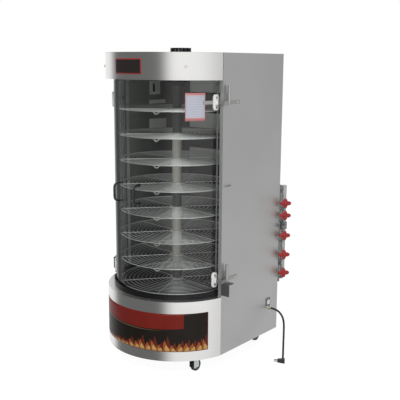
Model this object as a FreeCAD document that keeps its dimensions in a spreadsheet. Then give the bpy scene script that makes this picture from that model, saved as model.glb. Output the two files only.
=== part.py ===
import FreeCAD, Part
import math
import os
import re

# Vertical gas rotisserie on casters. Millimetres, +Z up, front towards -Y, +X to the right of someone facing it.
# The pieces are drawn about the rotor shaft's axis and then moved, so that the origin is on the floor in the middle
# of the part's footprint.

SIZES = {
    # place of the rotor axis in the part's frame
    "axis_right": -4,
    "axis_back": -67.1,
    # casing
    "half_width": 370,
    "front_edge": 80,
    "rear_depth": 456,
    "sheet_gauge": 1.5,
    "floor_gauge": 3,
    "caster_height": 90,
    "skirt_height": 318,
    "opening_height": 1110,
    "hood_height": 132,
    "base_overhang": 9,
    "hood_overhang": 4,
    "seam_gap": 0.3,
    "running_gap": 0.05,
    # flue collar and vents
    "flue_radius": 55,
    "flue_offset": 30,
    "flue_height": 26,
    "flue_flange": 10,
    "flue_slot_width": 9,
    "flue_slot_margin": 5,
    "vent_length": 180,
    "vent_width": 40,
    "vent_offset": 250,
    # heating chamber
    "chamber_inset": 20,
    "liner_gauge": 1.2,
    "burner_bay": 104,
    "tray_inset": 5,
    "tray_height": 28,
    "tray_gauge": 2,
    "tray_collar_radius": 56,
    "tray_collar_height": 12,
    # burners
    "burner_footroom": 147,
    "burner_headroom": 143,
    "burner_half_width": 215,
    "burner_half_height": 60,
    "burner_depth": 60,
    "burner_lip": 12,
    "tile_depth": 14,
    "tile_proud": 2,
    "tile_clearance": 1,
    # gas line
    "manifold_stand_out": 1,
    "manifold_stand_off": 40,
    "manifold_tail": 39,
    "manifold_head": 96,
    "pipe_radius": 15,
    "pipe_wall": 3,
    "rail_width": 20,
    "rail_gauge": 5,
    "rail_tail": 31,
    "rail_foot_width": 8,
    "rail_foot_height": 18,
    "low_foot_rise": 37,
    "high_foot_rise": 60,
    "inlet_rise": 49,
    "inlet_radius": 22,
    "inlet_height": 40,
    "inlet_shoulder": 2,
    "inlet_flange_radius": 14,
    "inlet_stub_radius": 10,
    "inlet_stub_length": 26,
    "valve_first": 829,
    "valve_second": 759,
    "valve_third": 644,
    "valve_fourth": 532,
    "valve_fifth": 425,
    "valve_radius": 11,
    "valve_length": 25,
    "valve_port_radius": 4,
    "outlet_radius": 7,
    "outlet_drop": 22,
    "outlet_inset": 9,
    "stem_radius": 4,
    "stem_length": 15,
    "feed_radius": 4,
    "feed_bend": 14,
    "feed_drop": 38,
    "feed_inset": 30,
    "feed_run_in": 45,
    "feed_stand_back": 44,
    # valve handles
    "knob_hub_radius": 10,
    "knob_depth": 18,
    "knob_half_span": 34,
    "knob_half_height": 29,
    "knob_lobe": 13,
    "knob_lobe_depth": 11,
    # switch and cord outlet
    "switch_inset": 96,
    "switch_level": 270,
    "switch_half_width": 20,
    "switch_half_height": 23,
    "bezel_depth": 3,
    "bezel_border": 7,
    "switch_body_depth": 26,
    "rocker_clearance": 2,
    "rocker_proud": 3,
    "gland_inset": 82,
    "gland_level": 231.5,
    "gland_radius": 11,
    "gland_flange": 5,
    "gland_length": 14,
    "gland_neck_radius": 7,
    "cord_radius": 5.7,
    "plug_half_width": 12,
    "plug_heel_height": 24,
    "plug_nose_height": 13,
    "plug_length": 40,
    "plug_heel": 11,
    "plug_relief": 12,
    "plug_relief_radius": 8,
    "plug_seat": 7.2,
    "plug_lift": 0.5,
    "pin_radius": 2.4,
    "pin_length": 19,
    "pin_root": 4,
    "pin_spacing": 19,
    # drive
    "bracket_half_width": 80,
    "bracket_half_depth": 60,
    "bracket_gauge": 4,
    "bracket_drop": 178,
    "gearbox_half_width": 55,
    "gearbox_half_depth": 45,
    "gearbox_height": 80,
    "motor_radius": 36,
    "motor_length": 130,
    "output_radius": 8,
    "output_length": 110,
    "output_depth": 60,
    "coupling_radius": 18,
    "coupling_rise": 25,
    "coupling_height": 50,
    "bearing_radius": 50,
    "bearing_height": 12,
    "bush_radius": 42,
    "bush_height": 12,
    # rotor
    "shaft_radius": 25,
    "shaft_wall": 3,
    "shaft_plug": 12,
    "shaft_vent_radius": 5,
    "spigot_radius": 12,
    "spigot_drop": 50,
    "top_spigot_radius": 10,
    "top_spigot_length": 22,
    "rack_inset": 22.1,
    "rack_headroom": 154,
    "rack_footroom": 19.4,
    "rack_thickness": 4,
    "rack_rim": 7,
    "rack_wire": 4,
    "spoke_width": 6,
    "hub_radius": 36,
    "collar_height": 5,
    "peg_radius": 3.5,
    "peg_length": 12,
    "peg_angle": 21.5,
    # doors
    "glass_inset": 36.4,
    "glass_thickness": 5,
    "glass_foot": 37,
    "glass_head": 6,
    "meeting_angle": 5.5,
    "meeting_gap": 0.5,
    "door_end_angle": 79,
    "handle_offset_angle": 11.5,
    "handle_rise": 538,
    "handle_half_spacing": 46,
    "handle_reach": 46,
    "handle_bar_radius": 6,
    "handle_leg_radius": 5,
    "handle_pad_radius": 9,
    "handle_pad_depth": 4,
    "strap_thickness": 4,
    "strap_half_height": 9,
    "clamp_half_height": 37,
    "clamp_screw_inset": 12,
    "clamp_half_angle": 2.6,
    "right_clamp_angle": 75.6,
    "left_clamp_angle": 50,
    "strap_lead_angle": 12,
    "upper_hinge_drop": 109,
    "lower_hinge_rise": 88,
    "hinge_stand_off": 15,
    "hinge_setback": 26,
    "arm_reach": 15,
    "arm_thickness": 6,
    "eye_radius": 10,
    "hinge_pin_radius": 5,
    "knuckle_height": 76,
    "knuckle_tip_radius": 7,
    "leaf_gauge": 3,
    "leaf_front": 10,
    "leaf_back": 110,
    "leaf_screw_inset": 22,
    "leaf_rise": 46,
    "shelf_drop": 10,
    "shelf_height": 66,
    "shelf_reach": 50,
    "shelf_depth": 42,
    "shelf_gauge": 4,
    "screw_radius": 5,
    "screw_height": 3,
    "hood_screw_radius": 6.5,
    "hood_screw_height": 8,
    "hood_screw_angle": 47.5,
    "edge_screw_radius": 3,
    "edge_screw_height": 1.5,
    "edge_screw_inset": 11,
    "edge_screw_top": 21,
    "edge_screw_pitch": 74,
    "rear_screw_inset": 16,
    "rear_screw_top": 40,
    "rear_screw_pitch": 296,
    # vents in the rear sheet
    "louvre_half_width": 75,
    "louvre_height": 8,
    "louvre_pitch": 26,
    "louvre_drop": 150,
    "louvre_offset": 110,
    # casters
    "caster_side_inset": 110,
    "caster_front_inset": 209,
    "caster_rear_inset": 76,
    "caster_plate_half": 32,
    "caster_plate_gauge": 3,
    "race_radius": 24,
    "race_height": 3,
    "crown_height": 4,
    "king_pin_radius": 5,
    "wheel_radius": 32,
    "wheel_width": 24,
    "wheel_gap": 1.5,
    "tread_round": 4,
    "fork_gauge": 2.5,
    "fork_half_depth": 11,
    "fork_tail": 9,
    "axle_radius": 4,
    "caster_trail": 20,
}

BURNER_COUNT = 5
RACK_COUNT = 8
RACK_RINGS = 12
RACK_SPOKES = 6
FLUE_SLOTS = 16
EDGE_SCREWS = 4
REAR_SCREWS = 6
LOUVRE_ROWS = 7
VALVE_LEVELS = ("valve_first", "valve_second", "valve_third", "valve_fourth", "valve_fifth")
VALVE_ANGLE = -45
RIGHT, LEFT = 1, -1

# The cord leaves the gland, sags to the floor beside the cabinet and ends in the plug.
CORD_ROUTE = (
    (384, 374, 231.5),
    (415, 374, 231.5),
    (445, 374, 219),
    (466, 374, 193),
    (475, 371.5, 160),
    (482, 361, 126),
    (493, 343, 92),
    (507, 320, 59),
    (522, 296, 33),
    (538, 270, 17),
    (555, 242, 12),
)
ARC_SHARE = 0.45
PLUG_TURN = -90

UP = FreeCAD.Vector(0, 0, 1)
TO_RIGHT = FreeCAD.Vector(1, 0, 0)
TO_BACK = FreeCAD.Vector(0, 1, 0)

DECK_TOP = "(caster_height + skirt_height)"
HOOD_LOW = f"({DECK_TOP} + opening_height)"
ROOF = f"({HOOD_LOW} + hood_height)"
INNER_HALF = "(half_width - sheet_gauge)"
INNER_REAR = "(rear_depth - sheet_gauge)"
BEARING_TOP = f"({DECK_TOP} + bearing_height)"
BUSH_LOW = f"({HOOD_LOW} - bush_height)"
GEARBOX_TOP = "(bracket_level + gearbox_height)"
HINGE_ACROSS = "(half_width + hinge_stand_off)"
HINGE_BACK = "(hinge_setback - front_edge)"
ARM_FRONT = "(front_edge + arm_reach)"

# Places and radii that follow the driving sizes with a named clearance.
DERIVED = {
    "hood_radius": "half_width + hood_overhang",
    "base_radius": "half_width + base_overhang",
    "chamber_half": "half_width - chamber_inset",
    "tray_radius": "chamber_half - tray_inset",
    "glass_radius": "half_width - glass_inset",
    "rack_radius": "glass_radius - rack_inset",
    "rack_top_level": f"{HOOD_LOW} - rack_headroom",
    "rack_pitch": f"(opening_height - rack_headroom - rack_footroom) / {RACK_COUNT - 1}",
    "burner_wall_place": "rear_depth - burner_bay",
    "burner_lowest": f"{DECK_TOP} + burner_footroom",
    "burner_pitch": f"(opening_height - burner_footroom - burner_headroom) / {BURNER_COUNT - 1}",
    "manifold_right": "half_width + manifold_stand_out",
    "manifold_back": "rear_depth + manifold_stand_off",
    "manifold_low": "valve_fifth - manifold_tail",
    "manifold_high": "valve_first + manifold_head",
    "rail_left": "manifold_right - pipe_radius - rail_width",
    "rail_low": "manifold_low - rail_tail",
    "low_foot_level": "valve_fifth + low_foot_rise",
    "high_foot_level": "valve_first + high_foot_rise",
    "inlet_level": "valve_third + inlet_rise",
    "feed_first_place": "half_width - feed_inset",
    "feed_spacing": f"(feed_first_place - burner_half_width - feed_run_in) / {BURNER_COUNT - 1}",
    "feed_back": "burner_wall_place + feed_stand_back",
    "switch_back": "rear_depth - switch_inset",
    "gland_back": "rear_depth - gland_inset",
    "bracket_level": f"{DECK_TOP} - bracket_drop",
    "coupling_low_level": "bracket_level + gearbox_height + coupling_rise",
    "handle_level": f"{DECK_TOP} + handle_rise",
    "upper_hinge_level": f"{HOOD_LOW} - upper_hinge_drop",
    "lower_hinge_level": f"{DECK_TOP} + lower_hinge_rise",
    "shelf_level": "lower_hinge_level - shelf_drop",
    "caster_right": "half_width - caster_side_inset",
    "caster_front": "base_radius - caster_front_inset",
    "caster_rear": "rear_depth - caster_rear_inset",
}

doc = FreeCAD.newDocument("vertical_rotisserie")
sheet = doc.addObject("Spreadsheet::Sheet", "Sizes")
for row, (alias, number) in enumerate(SIZES.items(), start=1):
    sheet.set(f"A{row}", alias)
    sheet.set(f"B{row}", str(number))
    sheet.setAlias(f"B{row}", alias)
doc.recompute()

pieces = []


def bind(text):
    """Turn the plain size names of an expression into references to the sheet."""
    def reference(match):
        name = match.group()
        if name in DERIVED:
            return f"({bind(DERIVED[name])})"
        return f"Sizes.{name}" if name in SIZES else name
    return re.sub(r"[a-z_]+", reference, str(text))


def value(text):
    """The present value of an expression, for shapes that are worked out point by point."""
    return float(sheet.evalExpression(bind(text)))


def piece(label, item):
    """Name a finished sub-part; its label is also its file's name."""
    item.Label = label
    pieces.append(item)
    return item


def place(item, at, turn=None):
    """Put an item at three expressions, turned by a fixed rotation if one is given."""
    if turn is not None:
        item.Placement = FreeCAD.Placement(FreeCAD.Vector(), turn)
    for axis, text in zip("xyz", at):
        item.setExpression(f"Placement.Base.{axis}", bind(text))
    return item


def turn_about_z(item, angle):
    """Turn an item about the rotor axis by an expression in degrees."""
    item.Placement = FreeCAD.Placement(FreeCAD.Vector(), FreeCAD.Rotation(UP, 1))
    item.setExpression("Placement.Rotation.Angle", bind(angle))
    return item


def span(side, low, high):
    """A pair of expressions along X, on the right or mirrored to the left."""
    return (low, high) if side == RIGHT else (f"-({high})", f"-({low})")


def around(middle, half):
    return (f"{middle} - {half}", f"{middle} + {half}")


def block(x, y, z):
    """A box between pairs of expressions."""
    item = doc.addObject("Part::Box", "Block")
    for size, (low, high) in zip(("Length", "Width", "Height"), (x, y, z)):
        item.setExpression(size, bind(f"({high}) - ({low})"))
    return place(item, (x[0], y[0], z[0]))


def rod(radius, length, at, along=UP):
    """A cylinder that starts at a point and runs along a direction."""
    item = doc.addObject("Part::Cylinder", "Rod")
    item.setExpression("Radius", bind(radius))
    item.setExpression("Height", bind(length))
    return place(item, at, FreeCAD.Rotation(UP, along))


def disc(radius, z, at=("0", "0")):
    """An upright cylinder between two levels."""
    return rod(radius, f"({z[1]}) - ({z[0]})", (at[0], at[1], z[0]))


def cone(start_radius, end_radius, length, at, along=UP):
    item = doc.addObject("Part::Cone", "Taper")
    item.setExpression("Radius1", bind(start_radius))
    item.setExpression("Radius2", bind(end_radius))
    item.setExpression("Height", bind(length))
    return place(item, at, FreeCAD.Rotation(UP, along))


def fuse(*items):
    item = doc.addObject("Part::MultiFuse", "Joined")
    item.Shapes = list(items)
    item.Refine = True
    return item


def group(*items):
    """Separate solids of one kind under one name."""
    item = doc.addObject("Part::Compound", "Set")
    item.Links = list(items)
    return item


def cut(base, *tools):
    item = doc.addObject("Part::Cut", "Cut")
    item.Base = base
    item.Tool = tools[0] if len(tools) == 1 else group(*tools)
    item.Refine = True
    return item


def ring(outer, inner, z, at=("0", "0")):
    return cut(disc(outer, z, at), disc(inner, z, at))


def arc_wall(outer, inner, z, start, sweep):
    """A curved wall about the rotor axis; angles in degrees from straight ahead, positive to the right."""
    sector = doc.addObject("Part::Cylinder", "Sector")
    sector.setExpression("Radius", bind(outer))
    sector.setExpression("Height", bind(f"({z[1]}) - ({z[0]})"))
    sector.setExpression("Angle", bind(sweep))
    turn_about_z(sector, f"({start}) - 90")
    sector.setExpression("Placement.Base.z", bind(z[0]))
    return cut(sector, disc(inner, z))


def front_half(item, radius, z):
    """Keep what lies in front of the side panels' front edges."""
    return cut(item, block(around("0", f"{radius} * 2"), ("-front_edge", f"{radius} * 2"), z))


def front_band(radius, z):
    return front_half(ring(radius, f"{radius} - sheet_gauge", z), radius, z)


def cabinet_plate(radius, half, rear, z):
    """A level plate with a round front and a square rear."""
    nose = front_half(disc(radius, z), radius, z)
    return fuse(nose, block(around("0", half), ("-front_edge", rear), z))


def feed_place(index):
    return f"(feed_first_place - feed_spacing * {index})"


def casing():
    floor_levels = ("caster_height", "caster_height + floor_gauge")
    inside_skirt = "(base_radius - sheet_gauge - seam_gap)"
    inside_hood = "(hood_radius - sheet_gauge - seam_gap)"
    piece("base_floor", cabinet_plate(inside_skirt, INNER_HALF, INNER_REAR, floor_levels))
    piece("base_skirt", front_band("base_radius", ("caster_height", DECK_TOP)))

    deck = cabinet_plate(inside_skirt, INNER_HALF, INNER_REAR, (f"{DECK_TOP} - sheet_gauge", DECK_TOP))
    hole_levels = (f"{DECK_TOP} - sheet_gauge * 2", BEARING_TOP)
    shaft_hole = disc("spigot_radius + seam_gap", hole_levels)
    lowest_feed = (feed_place(len(VALVE_LEVELS) - 1), "feed_back")
    piece("deck_plate", cut(deck, shaft_hole, disc("feed_radius + seam_gap", hole_levels, lowest_feed)))

    ceiling_levels = (HOOD_LOW, f"{HOOD_LOW} + sheet_gauge")
    ceiling = cabinet_plate(inside_hood, INNER_HALF, INNER_REAR, ceiling_levels)
    vent = block(around("0", "vent_length / 2"), around("vent_offset", "vent_width / 2"), ceiling_levels)
    piece("chamber_ceiling", cut(ceiling, disc("top_spigot_radius + seam_gap", ceiling_levels), vent))

    hood = front_band("hood_radius", (HOOD_LOW, ROOF))
    tabs = []
    band_end = "sqrt((hood_radius - sheet_gauge) ^ 2 - front_edge ^ 2)"
    for side in (RIGHT, LEFT):
        across = span(side, band_end, "half_width")
        tabs.append(block(across, ("-front_edge - sheet_gauge", "-front_edge"), (HOOD_LOW, ROOF)))
    piece("hood_band", fuse(hood, *tabs))

    roof_levels = (ROOF, f"{ROOF} + sheet_gauge")
    roof = cabinet_plate("hood_radius", "half_width", "rear_depth", roof_levels)
    flue_hole = disc("flue_radius + seam_gap", roof_levels, ("0", "flue_offset"))
    piece("top_panel", cut(roof, flue_hole))


def side_panel(side):
    plate = block(span(side, INNER_HALF, "half_width"), ("-front_edge", INNER_REAR), ("caster_height", ROOF))
    flange = block(
        span(side, "chamber_half", INNER_HALF),
        ("-front_edge", "-front_edge + sheet_gauge"),
        (DECK_TOP, HOOD_LOW),
    )
    return fuse(plate, flange)


def side_panels():
    piece("left_side_panel", side_panel(LEFT))
    through = (f"{INNER_HALF} - sheet_gauge", "half_width + sheet_gauge")
    switch_hole = block(
        through,
        around("switch_back", "(switch_half_width - bezel_border)"),
        around("switch_level", "(switch_half_height - bezel_border)"),
    )
    gland_at = (through[0], "gland_back", "gland_level")
    gland_hole = rod("gland_neck_radius", f"({through[1]}) - ({through[0]})", gland_at, TO_RIGHT)
    piece("right_side_panel", cut(side_panel(RIGHT), switch_hole, gland_hole))


def rear_panel():
    """The rear sheet with the rail that carries the manifold, its louvres and a hole for each feed tube."""
    pipe_at = ("manifold_right", "manifold_back")
    rail_depth = around("manifold_back", "rail_gauge / 2")
    joined = [
        block(around("0", "half_width"), (INNER_REAR, "rear_depth"), ("caster_height", ROOF)),
        block(("rail_left", "manifold_right"), rail_depth, ("rail_low", "manifold_high")),
    ]
    for level in ("low_foot_level", "high_foot_level"):
        levels = around(level, "rail_foot_height / 2")
        foot = block(("rail_left", "rail_left + rail_foot_width"), ("rear_depth", "manifold_back"), levels)
        joined.append(foot)
    holes = [
        disc("pipe_radius + seam_gap", ("rail_low", "manifold_high"), pipe_at),
        disc("inlet_radius + seam_gap", around("inlet_level", "(inlet_height / 2 + seam_gap)"), pipe_at),
    ]
    for index, level in enumerate(VALVE_LEVELS):
        at = (feed_place(index), f"{INNER_REAR} - sheet_gauge", f"{level} - feed_drop")
        holes.append(rod("feed_radius + seam_gap", "sheet_gauge * 3", at, TO_BACK))
    through = (f"{INNER_REAR} - sheet_gauge", "rear_depth + sheet_gauge")
    for row in range(LOUVRE_ROWS):
        levels = around(f"({ROOF} - louvre_drop - louvre_pitch * {row})", "louvre_height / 2")
        for side in (RIGHT, LEFT):
            holes.append(block(around(f"{side} * louvre_offset", "louvre_half_width"), through, levels))
    piece("rear_panel", cut(fuse(*joined), *holes))


def flue_collar():
    """A closed-top round collar with upright slots, held by a flange under the roof sheet."""
    at = ("0", "flue_offset")
    low = f"({ROOF} - sheet_gauge)"
    foot = f"({ROOF} + sheet_gauge)"
    flange = disc("flue_radius + flue_flange", (low, ROOF), at)
    wall = disc("flue_radius", (low, f"{foot} + flue_height"), at)
    hollow = disc("flue_radius - sheet_gauge", (low, f"{foot} + flue_height - sheet_gauge"), at)
    slots = []
    for index in range(FLUE_SLOTS // 2):
        slot = doc.addObject("Part::Box", "Slot")
        slot.setExpression("Length", bind("flue_radius * 4"))
        slot.setExpression("Width", bind("flue_slot_width"))
        slot.setExpression("Height", bind("flue_height - flue_slot_margin * 2"))
        angle = 360 / FLUE_SLOTS * (index + 0.5)
        reach = ("flue_radius * 2", "flue_slot_width / 2")
        back = (f"-cos({angle}) * {reach[0]} + sin({angle}) * {reach[1]}",
                f"flue_offset - sin({angle}) * {reach[0]} - cos({angle}) * {reach[1]}",
                f"{foot} + flue_slot_margin")
        slots.append(place(slot, back, FreeCAD.Rotation(UP, angle)))
    piece("flue_collar", cut(fuse(flange, wall), hollow, *slots))


def chamber():
    liners = []
    for side in (RIGHT, LEFT):
        across = span(side, "chamber_half", "chamber_half + liner_gauge")
        liners.append(block(across, ("-front_edge + sheet_gauge", "burner_wall_place"), (DECK_TOP, HOOD_LOW)))
    piece("side_liners", group(*liners))

    floor = disc("tray_radius", (DECK_TOP, f"{DECK_TOP} + tray_height"))
    hollow = disc("tray_radius - tray_gauge", (f"{DECK_TOP} + tray_gauge", f"{DECK_TOP} + tray_height"))
    collar = disc("tray_collar_radius", (DECK_TOP, f"{DECK_TOP} + tray_collar_height"))
    eye = disc("tray_collar_radius - tray_gauge", (DECK_TOP, f"{DECK_TOP} + tray_collar_height"))
    piece("drip_tray", cut(fuse(cut(floor, hollow), collar), eye))


def burner_level(index):
    return f"(burner_lowest + burner_pitch * {BURNER_COUNT - 1 - index})"


def burners():
    """Five infrared burners: the pierced wall, a housing behind each window and a ceramic tile in it."""
    wall_back = "(burner_wall_place + sheet_gauge)"
    cavity_across = around("0", "(burner_half_width - sheet_gauge)")
    windows = []
    housings = []
    tiles = []
    for index in range(BURNER_COUNT):
        level = burner_level(index)
        cavity_up = around(level, "(burner_half_height - sheet_gauge)")
        window_across = around("0", "(burner_half_width - sheet_gauge + tile_clearance)")
        window_up = around(level, "(burner_half_height - sheet_gauge + tile_clearance)")
        windows.append(block(window_across, around("burner_wall_place", "sheet_gauge * 2"), window_up))

        box = block(
            around("0", "burner_half_width"),
            (wall_back, f"{wall_back} + burner_depth"),
            around(level, "burner_half_height"),
        )
        lip = block(
            around("0", "(burner_half_width + burner_lip)"),
            (wall_back, f"{wall_back} + sheet_gauge"),
            around(level, "(burner_half_height + burner_lip)"),
        )
        cavity = block(cavity_across, (wall_back, f"{wall_back} + burner_depth - sheet_gauge"), cavity_up)
        inlet_at = ("burner_half_width - sheet_gauge * 2", "feed_back", level)
        inlet = rod("feed_radius - sheet_gauge / 2", "sheet_gauge * 3", inlet_at, TO_RIGHT)
        housings.append(cut(fuse(box, lip), cavity, inlet))

        tile_depth = ("burner_wall_place - tile_proud", "burner_wall_place + tile_depth")
        tiles.append(block(cavity_across, tile_depth, cavity_up))
    wall = block(around("0", INNER_HALF), ("burner_wall_place", wall_back), (DECK_TOP, HOOD_LOW))
    piece("burner_wall", cut(wall, *windows))
    piece("burner_housings", group(*housings))
    piece("burner_tiles", group(*tiles))


def out_from_pipe(distance, sideways="0"):
    """The plan position at a distance from the manifold along the valves' own direction."""
    x = f"manifold_right + cos({VALVE_ANGLE}) * ({distance}) - sin({VALVE_ANGLE}) * ({sideways})"
    y = f"manifold_back + sin({VALVE_ANGLE}) * ({distance}) + cos({VALVE_ANGLE}) * ({sideways})"
    return x, y


VALVE_ALONG = FreeCAD.Rotation(UP, VALVE_ANGLE).multVec(TO_RIGHT)
VALVE_START = "(pipe_radius + seam_gap)"
VALVE_END = f"({VALVE_START} + valve_length)"
OUTLET_REACH = f"({VALVE_END} - outlet_inset)"


def gas_line():
    pipe_at = ("manifold_right", "manifold_back")
    pipe = disc("pipe_radius", ("manifold_low", "manifold_high"), pipe_at)
    inside = ("manifold_low + pipe_wall", "manifold_high - pipe_wall")
    hollow = disc("pipe_radius - pipe_wall", inside, pipe_at)
    ports = []
    valves = []
    for level in VALVE_LEVELS:
        ports.append(rod("valve_port_radius", "pipe_radius * 2", (*pipe_at, level), VALVE_ALONG))
        body = rod("valve_radius", "valve_length", (*out_from_pipe(VALVE_START), level), VALVE_ALONG)
        stem = rod("stem_radius", "stem_length", (*out_from_pipe(VALVE_END), level), VALVE_ALONG)
        drop = (f"{level} - outlet_drop", level)
        valves.append(fuse(body, stem, disc("outlet_radius", drop, out_from_pipe(OUTLET_REACH))))
    piece("gas_manifold", cut(pipe, hollow, *ports))
    piece("valve_bodies", group(*valves))

    sleeve = disc("inlet_radius", around("inlet_level", "inlet_height / 2"), pipe_at)
    shoulder = "(inlet_radius + inlet_shoulder)"
    flange_at = (*out_from_pipe("pipe_radius"), "inlet_level")
    flange = rod("inlet_flange_radius", f"{shoulder} - pipe_radius", flange_at, VALVE_ALONG)
    stub_at = (*out_from_pipe(shoulder), "inlet_level")
    stub = rod("inlet_stub_radius", "inlet_stub_length", stub_at, VALVE_ALONG)
    bore = disc("pipe_radius + seam_gap", around("inlet_level", "inlet_height"), pipe_at)
    piece("gas_inlet", cut(fuse(sleeve, flange, stub), bore))


def valve_handle(level):
    """A cross handle with four lobes that turns on its valve's stem."""
    start = f"({VALVE_END} + seam_gap)"
    hub = rod("knob_hub_radius", "knob_depth", (start, "0", "0"), TO_RIGHT)
    across = block(
        (start, f"{start} + knob_lobe_depth"),
        around("0", "knob_half_span"),
        around("0", "knob_lobe / 2"),
    )
    upright = block(
        (start, f"{start} + knob_lobe_depth"),
        around("0", "knob_lobe / 2"),
        around("0", "knob_half_height"),
    )
    bore = rod("stem_radius + running_gap", "stem_length", (start, "0", "0"), TO_RIGHT)
    handle = cut(fuse(hub, across, upright), bore)
    return place(handle, ("manifold_right", "manifold_back", level), FreeCAD.Rotation(UP, VALVE_ANGLE))


def valve_handles():
    for index, level in enumerate(VALVE_LEVELS, start=1):
        piece(f"valve_handle_{index}", valve_handle(level))


def rounded_path(points, radii):
    """A path of straight runs with a tangent arc at each inner point."""
    edges = []
    start = points[0]
    for before, corner, after, radius in zip(points, points[1:], points[2:], radii):
        towards = (before - corner).normalize()
        away = (after - corner).normalize()
        half_turn = (math.pi - towards.getAngle(away)) / 2
        setback = radius * math.tan(half_turn)
        first = corner + towards * setback
        last = corner + away * setback
        middle = corner + (towards + away).normalize() * (radius / math.cos(half_turn) - radius)
        edges.append(Part.LineSegment(start, first).toShape())
        edges.append(Part.Arc(first, middle, last).toShape())
        start = last
    edges.append(Part.LineSegment(start, points[-1]).toShape())
    return Part.Wire(edges)


def round_tube(points, radii, radius):
    """A round solid along a rounded path, with its volume compared with section times length."""
    path = rounded_path(points, radii)
    section = Part.Wire(Part.Circle(points[0], points[1] - points[0], radius).toShape())
    solid = path.makePipeShell([section], True, False)
    expected = math.pi * radius ** 2 * path.Length
    if abs(solid.Volume / expected - 1) > 0.01:
        raise RuntimeError(f"tube volume {solid.Volume:.0f} differs from {expected:.0f}")
    return solid, path.Length


def shaped(shape, at=FreeCAD.Vector()):
    item = doc.addObject("Part::Feature", "Shaped")
    item.Shape = shape
    item.Placement = FreeCAD.Placement(at, FreeCAD.Rotation())
    return item


def feed_tubes():
    """Each tube drops from its valve, enters through the rear panel and climbs to its burner."""
    tubes = []
    outlet_x, outlet_y = (value(text) for text in out_from_pipe(OUTLET_REACH))
    back = value("feed_back")
    bend = value("feed_bend")
    for index, level in enumerate(VALVE_LEVELS):
        entry = value(feed_place(index))
        low = value(f"{level} - feed_drop")
        burner = value(burner_level(index))
        route = (
            (outlet_x, outlet_y, value(f"{level} - outlet_drop")),
            (outlet_x, outlet_y, low),
            (entry, outlet_y, low),
            (entry, back, low),
            (entry, back, burner),
            (value("burner_half_width"), back, burner),
        )
        points = [FreeCAD.Vector(*point) for point in route]
        solid, _ = round_tube(points, [bend] * (len(points) - 2), value("feed_radius"))
        tubes.append(shaped(solid))
    piece("feed_tubes", group(*tubes))


def switch():
    """A rocker in a bezel that passes through the side panel."""
    inner_width = "(switch_half_width - bezel_border)"
    inner_height = "(switch_half_height - bezel_border)"
    bezel = block(
        ("half_width", "half_width + bezel_depth"),
        around("switch_back", "switch_half_width"),
        around("switch_level", "switch_half_height"),
    )
    body = block(
        ("half_width - switch_body_depth", "half_width"),
        around("switch_back", inner_width),
        around("switch_level", inner_height),
    )
    well = block(
        ("half_width - switch_body_depth / 2", "half_width + bezel_depth"),
        around("switch_back", f"({inner_width} - sheet_gauge)"),
        around("switch_level", f"({inner_height} - sheet_gauge)"),
    )
    piece("switch_housing", cut(fuse(bezel, body), well))

    rocker_half = f"({inner_height} - sheet_gauge - rocker_clearance)"
    rocker = block(
        ("half_width - rocker_proud", "half_width + bezel_depth + rocker_proud"),
        around("switch_back", f"({inner_width} - sheet_gauge - seam_gap)"),
        around("switch_level", rocker_half),
    )
    piece("switch_rocker", rocker)


def cord():
    gland_at = ("half_width", "gland_back", "gland_level")
    nose_at = ("half_width + gland_flange", "gland_back", "gland_level")
    neck_at = ("half_width - gland_length", "gland_back", "gland_level")
    nut = rod("gland_radius", "gland_flange", gland_at, TO_RIGHT)
    nose_length = "gland_length - gland_flange"
    nose = cone("gland_radius - gland_flange / 2", "cord_radius", nose_length, nose_at, TO_RIGHT)
    neck = rod("gland_neck_radius", "gland_length", neck_at, TO_RIGHT)
    piece("cord_gland", fuse(nut, nose, neck))

    points = [FreeCAD.Vector(*point) for point in CORD_ROUTE]
    radii = []
    for before, corner, after in zip(points, points[1:], points[2:]):
        half_turn = (corner - before).getAngle(after - corner) / 2
        shorter = min((corner - before).Length, (after - corner).Length)
        radii.append(ARC_SHARE * shorter / math.tan(half_turn))
    solid, length = round_tube(points, radii, value("cord_radius"))
    print("cord radii", [round(radius) for radius in radii], "length", round(length))
    piece("power_cord", shaped(solid))

    along = (points[-1] - points[-2]).normalize()
    relief = value("plug_relief")
    sleeve = Part.makeCone(value("cord_radius"), value("plug_relief_radius"), relief, points[-1], along)
    level_along = FreeCAD.Vector(along.x, along.y, 0).normalize()
    plug_along = FreeCAD.Rotation(UP, PLUG_TURN).multVec(level_along)
    length = value("plug_length")
    half_width = value("plug_half_width")
    heel_height = value("plug_heel_height")
    nose_low = (heel_height - value("plug_nose_height")) / 2
    nose_high = heel_height - nose_low
    wedge_low = (-half_width, 0, 0, nose_low, -half_width)
    wedge_high = (half_width, length, heel_height, nose_high, half_width)
    body = Part.makeWedge(*wedge_low, *wedge_high)
    heel = points[-1] + level_along * (value("plug_seat") + half_width) - plug_along * value("plug_heel")
    heel.z = value("plug_lift")
    body.Placement = FreeCAD.Placement(heel, FreeCAD.Rotation(TO_BACK, plug_along))
    plug = sleeve.fuse(body)
    nose = heel + plug_along * (length - value("pin_root")) + UP * (heel_height / 2)
    for step in (-0.5, 0.5):
        root = nose + level_along * (step * value("pin_spacing"))
        pin_length = value("pin_root + pin_length")
        pin = Part.makeCylinder(value("pin_radius"), pin_length, root, plug_along)
        plug = plug.fuse(pin)
    piece("power_plug", shaped(plug.removeSplitter()))


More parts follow.
